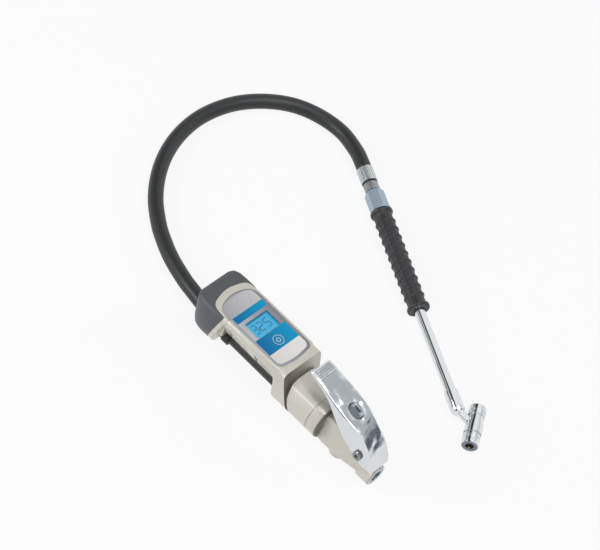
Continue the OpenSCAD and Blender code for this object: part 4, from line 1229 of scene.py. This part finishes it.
@dataclass
class HoseLine(Assembly):
    """The hose, inside the body and free, as one run of rubber.

    Attributes:
        radius: Outer radius in metres.
        front: Where the inner run begins, along X.
        arc_start: Where the inner run begins to turn, along X.
        arc_radius: Radius of that turn.
        arc_turn: Angle of that turn in degrees.
        stub: Straight length after the turn.
        leave_straight: Straight length at the start of the free hose.
        reach_straight: Straight length before the ferrule.
        gripped: Length inside the ferrule.
        step: Distance between the rings of the free hose's mesh.
        sides: Sides of the tubes.
        route: The free hose's lay between its straight ends, in metres.
    """

    radius: float = 7.5 * MM
    front: float = -80.1 * MM
    arc_start: float = -200 * MM
    arc_radius: float = 184 * MM
    arc_turn: float = 4.5
    stub: float = 1 * MM
    leave_straight: float = 3 * MM
    reach_straight: float = 9 * MM
    gripped: float = 14.4 * MM
    step: float = 3 * MM
    sides: int = 40
    route: tuple[Point, ...] = (
        (-0.224, 0.00157, 0.0), (-0.236, 0.0035, 0.0), (-0.246, 0.0052, -0.0003),
        (-0.258, 0.0076, -0.0008), (-0.282, 0.0154, -0.0026), (-0.302, 0.0248, -0.0039),
        (-0.3195, 0.035, -0.0045), (-0.343, 0.0535, -0.0045), (-0.3635, 0.078, -0.0045),
        (-0.378, 0.105, -0.0045), (-0.3865, 0.134, -0.0045), (-0.3885, 0.164, -0.0045),
        (-0.3825, 0.196, -0.0045), (-0.3685, 0.224, -0.0045), (-0.348, 0.2465, -0.0045),
        (-0.3235, 0.2595, -0.0045), (-0.296, 0.264, -0.004), (-0.271, 0.2582, -0.0024),
    )  # fmt: skip

    def build(self) -> None:
        """Makes the free hose first, then the run under the housing."""
        leave = heading(180 - self.arc_turn)
        exit_point = self.turned(self.arc_turn) + self.stub * leave
        self.free_hose(exit_point, leave)
        self.inner_run(exit_point)
        self.finish_nodes(
            {"hose_collar": Surface.SEAL, "hose_tail": Surface.BRASS, "hose_tail_ferrule": Surface.ZINC}
        )

    def turned(self, degrees: float) -> Vector:
        """Finds a place on the inner run's turn.

        Args:
            degrees: How far round the turn it lies.

        Returns:
            The place in metres.
        """
        a = math.radians(degrees)
        back, aside = self.arc_radius * math.sin(a), self.arc_radius * (1 - math.cos(a))
        return Vector((self.arc_start - back, aside, 0))

    def free_hose(self, exit_point: Vector, leave: Vector) -> None:
        """Makes the hose from the rear cap to the wand.

        Args:
            exit_point: Where it leaves the cap's collar, in metres.
            leave: Direction in which it leaves.
        """
        wand, ahead = Vector(WAND_AT) * MM, heading(WAND_TURN)
        points = [exit_point, exit_point + self.leave_straight * leave]
        points += [Vector(p) for p in self.route]
        points += [wand - self.reach_straight * ahead, wand + self.gripped * ahead]
        path = even_steps(through(points, 10), self.step)
        free = tube_object("free_hose", path, self.radius, self.sides)
        self.add_piece(free, Surface.HOSE, "body", "hose_rubber", "hose")

    def inner_run(self, exit_point: Vector) -> None:
        """Makes the hose under the housing.

        Args:
            exit_point: Where it leaves the cap's collar, in metres.
        """
        straight_steps, arc_steps = 24, 6
        pitch = (self.front - self.arc_start) / straight_steps
        inner = [Vector((self.front - k * pitch, 0, 0)) for k in range(straight_steps)]
        inner += [self.turned(self.arc_turn * k / arc_steps) for k in range(arc_steps + 1)]
        run = tube_object("hose_under_housing", [*inner, exit_point], self.radius, self.sides)
        self.add_piece(run, Surface.HOSE, "body", "hose_rubber", "hose_inner_run")


@dataclass
class GaugeHead(Assembly):
    """Housing, rear cap, label, display and what they hold. Sizes are in millimetres.

    Attributes:
        print_z: Height of the printed sheets.
        shade_z: Height of the painted shadow line under the window's edge.
        half: Half width of the printed sheets.
        front: Front of the label, along X.
        rear: Rear of the label, along X.
        blue_rear: Start and end of the rear blue band, along X.
        blue_front: Start and end of the front blue band, along X.
        window_x: Start and end of the window in the print, along X.
        window_half: Its half width.
        button: Centre of the power button along X.
        button_hole: Radius of the hole in the print round the button.
        ring: Outer and inner radius of the button's ring.
        sign: Outer and inner radius of the open circle in the on-off sign.
        sign_bar: Start, end and half width of its bar, from the button's centre.
        reading_x: Middle of the reading along X.
        reading_z: Height of the reading.
        digit_size: Height and width of a digit.
        stroke: Width of a digit's bar.
        segment_gap: Gap between two bars that meet.
        segment_taper: Length of a bar's pointed end, as a share of its width.
        decimal_point: Start and end of the decimal point across the display.
        panel_lean: Fall and rise of the side walls, which gives their lean.
        panel_at: Place of a side wall's skin across and up.
        panel_depth: Depth of the side panels.
        panel_near: Distance within which a face counts as a panel's floor.
        panel_square: Cosine of the angle within which it has to look straight out.
        front_near: Range of the housing's front face, from the leaning joint.
        front_square: Cosine of the angle within which it has to look along X.
    """

    print_z: float = 46.33
    shade_z: float = 46.24
    half: float = 19.15
    front: float = -119.6
    rear: float = -198.8
    blue_rear: tuple[float, float] = (-182.8, -175.4)
    blue_front: tuple[float, float] = (-152.9, -134.1)
    window_x: tuple[float, float] = (-171.9, -153.1)
    window_half: float = 14.4
    button: float = -142.0
    button_hole: float = 5.95
    ring: tuple[float, float] = (5.35, 4.95)
    sign: tuple[float, float] = (2.3, 1.75)
    sign_bar: Point = (-2.9, -0.6, 0.27)
    reading_x: float = -162.5
    reading_z: float = 43.46
    digit_size: tuple[float, float] = (9.4, 5.0)
    stroke: float = 1.0
    segment_gap: float = 0.24
    segment_taper: float = 0.62
    decimal_point: tuple[float, float] = (2.0, 3.2)
    panel_lean: tuple[float, float] = (9.8, 19.5)
    panel_at: tuple[float, float] = (20.1, 29.0)
    panel_depth: float = 1.2
    panel_near: float = 0.1
    panel_square: float = 0.99
    front_near: tuple[float, float] = (-0.8, 0.4)
    front_square: float = 0.85

    def build(self) -> None:
        """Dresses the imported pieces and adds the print."""
        self.finish_nodes(
            {
                "gauge_housing": Surface.LACQUER,
                "rear_cap": Surface.NYLON,
                "cap_screws": Surface.ZINC,
                "tie_screws": Surface.ZINC,
                "label_plate": Surface.BORDER_FILM,
                "display_window": Surface.LENS,
                "display_module": Surface.PANEL,
                "circuit_board": Surface.BOARD,
                "tact_switch": Surface.ABS,
                "power_button": Surface.BLUE_FILM,
                "battery_tray": Surface.ABS,
                "batteries": Surface.CELL,
                "battery_contacts": Surface.ZINC,
                "pressure_sensor": Surface.ZINC,
                "pressure_tube": Surface.SILICONE,
            }
        )
        self.panel_floors()
        self.front_face()
        self.label()
        self.digits()
        self.button_mark()

    def front_face(self) -> None:
        """Duller finish with painted shade on the leaning face that the handle shell meets."""

        def facing(centre: Vector, normal: Vector) -> bool:
            """Whether a face lies on the housing's front."""
            near = self.front_near[0] < past_joint(centre) < self.front_near[1]
            return near and normal.x > self.front_square

        # Painted shade: the housing's front face is darkened, most towards -Y.
        self.patch("housing_front_face", "gauge_housing", facing, Surface.SHADED_FRONT_FACE, "satin_nickel")

    def panel_floors(self) -> None:
        """Stippled finish on the floors of the four shallow side panels."""
        lean = math.atan2(*self.panel_lean)
        across, up = self.panel_at
        for side, name in ((-1, "panel_floor_near"), (1, "panel_floor_far")):
            out = Vector((0, side * math.cos(lean), -math.sin(lean)))
            middle = Vector((0, side * across * MM, up * MM)) - self.panel_depth * MM * out

            def on_floor(centre: Vector, normal: Vector) -> bool:
                """Whether a face lies in the panels' floor on this side."""
                level = abs((centre - middle).dot(out)) < self.panel_near * MM
                return level and normal.dot(out) > self.panel_square

            self.patch(name, "gauge_housing", on_floor, Surface.STIPPLE, "satin_nickel", lift=0.04)

    def sheet(self, name: str, surface: Surface, outline: list[Vector], *holes: list[Vector]) -> None:
        """Adds one printed sheet of the label."""
        self.add_piece(flat_sheet(name, [outline, *holes], self.print_z), surface, "body", "printed_label")

    def band(self, name: str, ends: tuple[float, float], surface: Surface, *holes: list[Vector]) -> None:
        """Adds one straight band of print across the label."""
        self.sheet(name, surface, rectangle(*ends, -self.half, self.half), *holes)

    def label(self) -> None:
        """Silver rear field, two blue bands and a white front field, in a grey border."""
        # Each corner as x, y and the length over which it is eased.
        rear = [
            (self.blue_rear[0], self.half, 0.1),
            (self.rear + 1.5, self.half, 11),
            (self.rear - 2.4, 0, 15),
            (self.rear + 1.5, -self.half, 11),
            (self.blue_rear[0], -self.half, 0.1),
        ]
        front = [
            (self.blue_front[1], -self.half, 0.1),
            (self.front - 2.2, -self.half, 6),
            (self.front + 0.4, 0, 14),
            (self.front - 2.2, self.half, 6),
            (self.blue_front[1], self.half, 0.1),
        ]
        self.sheet("label_rear_field", Surface.SILVER_FILM, rounded_loop(rear))
        self.sheet("label_front_field", Surface.WHITE_FILM, rounded_loop(front))
        window = rectangle(*self.window_x, -self.window_half, self.window_half)
        surround = (self.blue_rear[1], self.blue_front[0])
        self.band("label_display_surround", surround, Surface.FRAME_FILM, window)
        self.window_shade()
        self.band("label_rear_band", self.blue_rear, Surface.BLUE_FILM)
        hole = circle_loop(self.button, self.button_hole)
        self.band("label_front_band", self.blue_front, Surface.BLUE_FILM, hole)

    def window_shade(self) -> None:
        """Painted shadow of the window's wall: a deep blue line along its rear and far edges."""
        gap, wide, slant = 0.3, 1.7, 1.5
        x0, x1 = self.window_x[0] + gap, self.window_x[1] - gap
        edge = self.window_half - gap
        # The near end of the rear line is cut slantwise.
        outline = [
            (x0, -edge), (x0 + wide, slant - edge), (x0 + wide, edge - wide),
            (x1, edge - wide), (x1, edge), (x0, edge),
        ]  # fmt: skip
        # This deep blue sheet is the window's painted shadow.
        shade = flat_sheet("window_shade", [[Vector(p) for p in outline]], self.shade_z)
        self.add_piece(shade, Surface.WINDOW_SHADOW, "body", "printed_label")

    def digits(self) -> None:
        """Seven-segment reading with a decimal point on the display, read towards +Y."""
        height, width = self.digit_size
        # Each segment's ends, as steps across and down on a grid of one by two.
        grid = {
            "a": (0, 0, 1, 0), "b": (1, 0, 1, 1), "c": (1, 1, 1, 2), "d": (0, 2, 1, 2),
            "e": (0, 1, 0, 2), "f": (0, 0, 0, 1), "g": (0, 1, 1, 1),
        }  # fmt: skip
        # Middle of each digit across the display, and the segments that it lights.
        reading = ((-8.6, "abgcd"), (-1.6, "abged"), (6.4, "afgcd"))
        verts: list[Point] = []
        faces: list[tuple[int, ...]] = []

        def segment(y0: float, x0: float, y1: float, x1: float) -> None:
            """Adds one pointed bar between two places on the panel.

            Args:
                y0: Start of the bar across the display.
                x0: Start of the bar along X.
                y1: End of the bar across the display.
                x1: End of the bar along X.
            """
            a, b = Vector((x0, y0)), Vector((x1, y1))
            along = (b - a).normalized()
            side = Vector((-along.y, along.x)) * self.stroke / 2
            point, inset = along * self.segment_gap / 2, along * self.segment_taper * self.stroke
            ring = [a + point, a + inset + side, b - inset + side]
            ring += [b - point, b - inset - side, a + inset - side]
            first = len(verts)
            verts.extend((p.x * MM, p.y * MM, self.reading_z * MM) for p in ring)
            faces.append(tuple(range(first, first + len(ring))))

        top, low = self.reading_x - height / 2, self.reading_x + height / 2
        for place, lit in reading:
            left = place - width / 2
            for across0, down0, across1, down1 in (grid[key] for key in lit):
                segment(
                    left + across0 * width, top + down0 * height / 2,
                    left + across1 * width, top + down1 * height / 2,
                )  # fmt: skip
        start, end = self.decimal_point
        segment(start, low - self.stroke * 0.4, end, low - self.stroke * 0.4)
        display = mesh_object("display_reading", verts, faces, smooth=False)
        self.add_piece(display, Surface.SEGMENT, "body", "display_blue")

    def button_mark(self) -> None:
        """White ring and on-off sign on the power button, which move with it."""
        start, sweep, steps = 215, 290, 24
        turns = [math.radians(start + sweep * k / steps) for k in range(steps + 1)]
        outer, inner = (
            [Vector((self.button + radius * math.cos(a), radius * math.sin(a))) for a in turns]
            for radius in self.sign
        )
        x0, x1, half = self.sign_bar
        marks = {
            "button_ring": [circle_loop(self.button, radius) for radius in self.ring],
            "button_sign_arc": [outer + inner[::-1]],
            "button_sign_bar": [rectangle(self.button + x0, self.button + x1, -half, half)],
        }
        for name, loops in marks.items():
            mark = flat_sheet(name, loops, self.print_z)
            self.add_piece(mark, Surface.WHITE_FILM, "button", "button_blue")


@dataclass
class ValveEnd(Assembly):
    """Handle shell, valve body, squeeze lever and the air valve. Sizes are in millimetres.

    Attributes:
        axis_z: Height of the handle's axis.
        groove: Range of the groove behind the handle shell, from the leaning joint.
        front_seam: Range of the dark line in front of the shell, along X.
        step: Range of the step down to the nose, along X.
        step_low: Height above which the step gets the painted shade.
        step_square: Least share of X in the direction of a face on the step.
        end_square: Share of X in that direction from which a face counts as the barrel's end.
        outward_square: Least share of the way out from the axis in a face on the barrel's outside.
        spring_from: Place under the fixed end of the valve's return spring.
        spring_travel: How far its free end moves.
        dimple_lean: Lean of the dimple's axis in degrees.
        dish: Range of the dimple's dull floor below its centre.
        dish_radius: Radius of that floor.
        dish_square: Least share of the dimple's axis in the direction of its faces.
        tip: Range of the grip lines along X.
        line_at: A place on the lever's skin in the middle of its tip, along X and up.
        line_slope: Fall of the tip's skin along X.
        line_depth: Range of the lines' floors from the skin.
        line_square: Least share of Z in the direction of their faces.
    """

    axis_z: float = 15.5
    groove: tuple[float, float] = (-0.1, 2.8)
    front_seam: tuple[float, float] = (-74.98, -74.52)
    step: tuple[float, float] = (-66.0, -44.0)
    step_low: float = -8.0
    step_square: float = 0.25
    end_square: float = 0.9
    outward_square: float = 0.1
    spring_from: Point = (-43.0, 0.0, -40.0)
    spring_travel: float = 5.0
    dimple_lean: float = 15.0
    dish: tuple[float, float] = (-4.6, -2.4)
    dish_radius: float = 6.2
    dish_square: float = 0.3
    tip: tuple[float, float] = (-92.8, -82.2)
    line_at: tuple[float, float] = (-91.8, 62.66)
    line_slope: float = 0.2
    line_depth: tuple[float, float] = (-0.8, -0.14)
    line_square: float = 0.1

    def build(self) -> None:
        """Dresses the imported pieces."""
        self.finish_nodes(
            {
                "handle_shell": Surface.LACQUER,
                "valve_body": Surface.LACQUER,
                "inlet_bush": Surface.ZINC,
                "inlet_filter": Surface.BRASS,
                "lever": Surface.LEVER,
                "lever_pivot_screw": Surface.STEEL,
                "lever_pivot_nut": Surface.STEEL,
                "valve_stem": Surface.CHROME,
                "stem_gland": Surface.BRASS,
                "stem_seal": Surface.SEAL,
                "valve_poppet": Surface.BRASS,
                "poppet_seal": Surface.SEAL,
                "valve_plug": Surface.BRASS,
                "plug_seal": Surface.SEAL,
            }
        )
        up, travel = Vector((0, 0, 1)), self.spring_travel
        self.spring("valve_return_coil", "valve_spring", "stem_slide", travel, self.spring_from, up)
        self.painted_shade_step()
        self.shell_joints()
        self.dimple_floor()
        self.tip_lines()

    def painted_shade_step(self) -> None:
        """Dull finish with painted shade on the step from the full barrel down to the nose."""

        def on_step(centre: Vector, normal: Vector) -> bool:
            """Whether a face is on the step and looks forward."""
            inside = self.step[0] < centre.x / MM < self.step[1]
            return inside and normal.x > self.step_square and centre.z > self.step_low * MM

        # Painted shade: the step under the lever is darkened.
        self.patch("scoop_step", "valve_body", on_step, Surface.SHADED_STEP, "satin_nickel")

    def shell_joints(self) -> None:
        """Painted shade in the groove behind the handle shell, and a dark seam line in front of it that is
        partly painted shade.
        """

        def outward(centre: Vector, normal: Vector) -> bool:
            """Tells whether a face lies on the outside of the barrel.

            Args:
                centre: The face's centre.
                normal: Its direction.

            Returns:
                True where it does.
            """
            from_axis = Vector((0, centre.y, centre.z - self.axis_z * MM))
            flank = abs(normal.x) < self.end_square
            return flank and normal.dot(from_axis.normalized()) > self.outward_square

        def in_groove(centre: Vector, normal: Vector) -> bool:
            """Whether a face lies in the leaning groove next to the housing."""
            return self.groove[0] < past_joint(centre) < self.groove[1] and outward(centre, normal)

        # Painted shade darkens the groove and the seam line.
        dark, slot, seam = Surface.JOINT_SHADE, "black_moulding", self.front_seam
        self.patch("shell_rear_joint", "handle_shell", in_groove, dark, slot, lift=0.04)
        self.patch("shell_front_joint", "handle_shell", outward, dark, slot, lift=0.05, span=seam)

    def dimple_floor(self) -> None:
        """Duller plate with painted shade on the floor of the lever's dimple."""
        middle = Vector(DIMPLE_AT) * MM
        lean = math.radians(self.dimple_lean)
        up = Vector((math.sin(lean), 0, math.cos(lean)))

        def on_floor(centre: Vector, normal: Vector) -> bool:
            """Tells whether a face lies in the lower part of the dish.

            Args:
                centre: The face's centre.
                normal: Its direction.

            Returns:
                True where it does.
            """
            drop = (centre - middle).dot(up)
            away = ((centre - middle) - drop * up).length
            deep = self.dish[0] * MM < drop < self.dish[1] * MM
            return deep and away < self.dish_radius * MM and normal.dot(up) > self.dish_square

        # Painted shade: the dish's floor is darker plate.
        self.patch(
            "dimple_floor", "lever", on_floor, Surface.DIMPLE, "chrome", lift=0.04, body="squeeze_lever"
        )

    def tip_lines(self) -> None:
        """Matt floors of the pressed cross lines at the lever's tip."""

        def in_line(centre: Vector, normal: Vector) -> bool:
            """Tells whether a face lies inside one of the lines.

            Args:
                centre: The face's centre.
                normal: Its direction.

            Returns:
                True where it does.
            """
            x, z = centre.x / MM, centre.z / MM
            drop = z - self.line_at[1] + self.line_slope * (x - self.line_at[0])
            deep = self.line_depth[0] < drop < self.line_depth[1]
            return deep and self.tip[0] < x < self.tip[1] and normal.z > self.line_square

        self.patch("tip_lines", "lever", in_line, Surface.LINES, "chrome", lift=0.02, body="squeeze_lever")


@dataclass
class Wand(Assembly):
    """Ferrule, adaptor, grip, tube and chuck. Sizes are in millimetres.

    Attributes:
        grip_start: Start of the grip along the wand.
        grip_length: Length of the grip.
        rings: Raised rings between the flanges.
        ring_margin: Distance from the grip's end to where the rings' spacing is measured.
        flange: Outline of a flange, as distance from the grip's end and radius.
        bead: Outline of a ring, as distance from its middle and radius.
        between: Radius halfway between two rings.
        fluted: Range of radii that the flutes reach.
        flutes: Number of flutes round the grip.
        flute_depth: Their depth.
        hose_end: Outline of the hose's cut end, as distance along the wand and radius.
        chuck_turn: Heading of the chuck's front mouth in degrees.
        mouth_from: Distance from the chuck's centre beyond which a cap's flat end lies.
        mouth_square: Cosine of the angle within which its faces have to look along the chuck.
        pin_travel: How far a depressor pin moves.
    """

    grip_start: float = 51.0
    grip_length: float = 115.0
    rings: int = 10
    ring_margin: float = 5.0
    flange: tuple[tuple[float, float], ...] = (
        (0.0, 5.3), (0.0, 10.2), (0.5, 10.9), (1.4, 11.1),
        (2.8, 11.1), (3.8, 10.6), (4.6, 9.35), (5.6, 8.95),
    )  # fmt: skip
    bead: tuple[tuple[float, float], ...] = (
        (-2.6, 9.0), (-1.3, 8.8), (-0.8, 9.25), (-0.5, 10.05), (0.0, 10.15),
        (0.5, 10.05), (0.8, 9.25), (1.3, 8.8), (2.6, 9.0),
    )  # fmt: skip
    between: float = 9.05
    fluted: tuple[float, float] = (8.5, 9.3)
    flutes: int = 12
    flute_depth: float = 0.32
    hose_end: tuple[tuple[float, float], ...] = (
        (16.5, 5.1), (16.5, 7.1), (16.9, 7.45), (18.0, 7.45), (18.3, 7.1), (18.3, 5.1)
    )  # fmt: skip
    chuck_turn: float = -58.5
    mouth_from: float = 19.0
    mouth_square: float = 0.9
    pin_travel: float = 2.0

    def build(self) -> None:
        """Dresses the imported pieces, then makes the coils, the mouths, the grip and the hose's end."""
        self.finish_nodes(
            {
                "crimp_ferrule": Surface.FERRULE,
                "wand_tail": Surface.KNURL,
                "hex_adaptor": Surface.ZINC,
                "wand_tube": Surface.CHROME,
                "chuck_elbow": Surface.CHROME,
                "chuck_body": Surface.CHROME,
                "chuck_cap_front": Surface.CHROME,
                "chuck_cap_rear": Surface.CHROME,
                "chuck_seals": Surface.SEAL,
                "depressor_pin_front": Surface.BRASS,
                "depressor_pin_rear": Surface.BRASS,
            }
        )
        ahead = heading(self.chuck_turn)
        ends = {"front": ahead, "rear": -ahead}
        for end, way in ends.items():
            joint = f"pin_{end}_press"
            self.spring(f"{end}_pin_coil", "depressor_springs", joint, self.pin_travel, CHUCK_AT, way)
        for end, way in ends.items():
            self.mouth_face(end, way)
        self.grip()
        self.cut_hose()

    def onto_wand(self, obj: bpy.types.Object) -> None:
        """Moves a turned piece's mesh from the X axis onto the wand."""
        turn = Matrix.Rotation(math.radians(WAND_TURN), 4, "Z")
        obj.data.transform(Matrix.Translation(Vector(WAND_AT) * MM) @ turn)

    def cut_hose(self) -> None:
        """Cut end of the hose, which shows as a black band past the ferrule."""
        band = turned_object("hose_end_band", list(self.hose_end), 48)
        self.onto_wand(band)
        self.add_piece(band, Surface.SEAL, "body", "hose_rubber")

    def mouth_face(self, end: str, ahead: Vector) -> None:
        """Turned end face round one of the chuck's mouths, left out of the polish.

        Args:
            end: Which end, front or rear.
            ahead: Direction in which the mouth looks.
        """

        def at_mouth(centre: Vector, normal: Vector) -> bool:
            """Whether a face is on the flat end of the cap."""
            along = (centre - Vector(CHUCK_AT) * MM).dot(ahead)
            return normal.dot(ahead) > self.mouth_square and along > self.mouth_from * MM

        self.patch(f"mouth_face_{end}", f"chuck_cap_{end}", at_mouth, Surface.DIMPLE, "chrome")

    def grip_profile(self) -> list[tuple[float, float]]:
        """Draws the grip's outline: a flange at each end and slim rings between them.

        Returns:
            Distance along the wand and radius of each point, in millimetres.
        """
        start, end = self.grip_start + 0.1, self.grip_start + self.grip_length
        pitch = (self.grip_length - 2 * self.ring_margin) / (self.rings + 1)
        line = [(start + x, radius) for x, radius in self.flange]
        for i in range(1, self.rings + 1):
            middle = self.grip_start + self.ring_margin + i * pitch
            line.append((middle - pitch / 2, self.between))
            line += [(middle + x, radius) for x, radius in self.bead]
        return line + [(end - x, radius) for x, radius in reversed(self.flange)]

    def grip(self) -> None:
        """Turned rubber sleeve with shallow flutes between its rings."""
        sides = 96
        profile = self.grip_profile()
        obj = turned_object("grip_sleeve", profile, sides)
        for k, vert in enumerate(obj.data.vertices):
            radius = profile[k // sides][1]
            if self.fluted[0] < radius < self.fluted[1]:
                turn = 2 * math.pi * (k % sides) / sides
                dip = self.flute_depth * max(0.0, math.cos(self.flutes * turn)) ** 3
                vert.co.y *= 1 - dip / radius
                vert.co.z *= 1 - dip / radius
        self.onto_wand(obj)
        self.add_piece(obj, Surface.GRIP, "body", "grip_rubber", "wand_grip")


def main() -> None:
    """Builds the studio and every sub-assembly."""
    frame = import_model()
    bpy.context.scene.view_settings.view_transform = "Standard"
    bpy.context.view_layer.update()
    Studio().build()
    HoseLine(frame).build()
    GaugeHead(frame).build()
    ValveEnd(frame).build()
    Wand(frame).build()


if __name__ == "__main__":
    main()
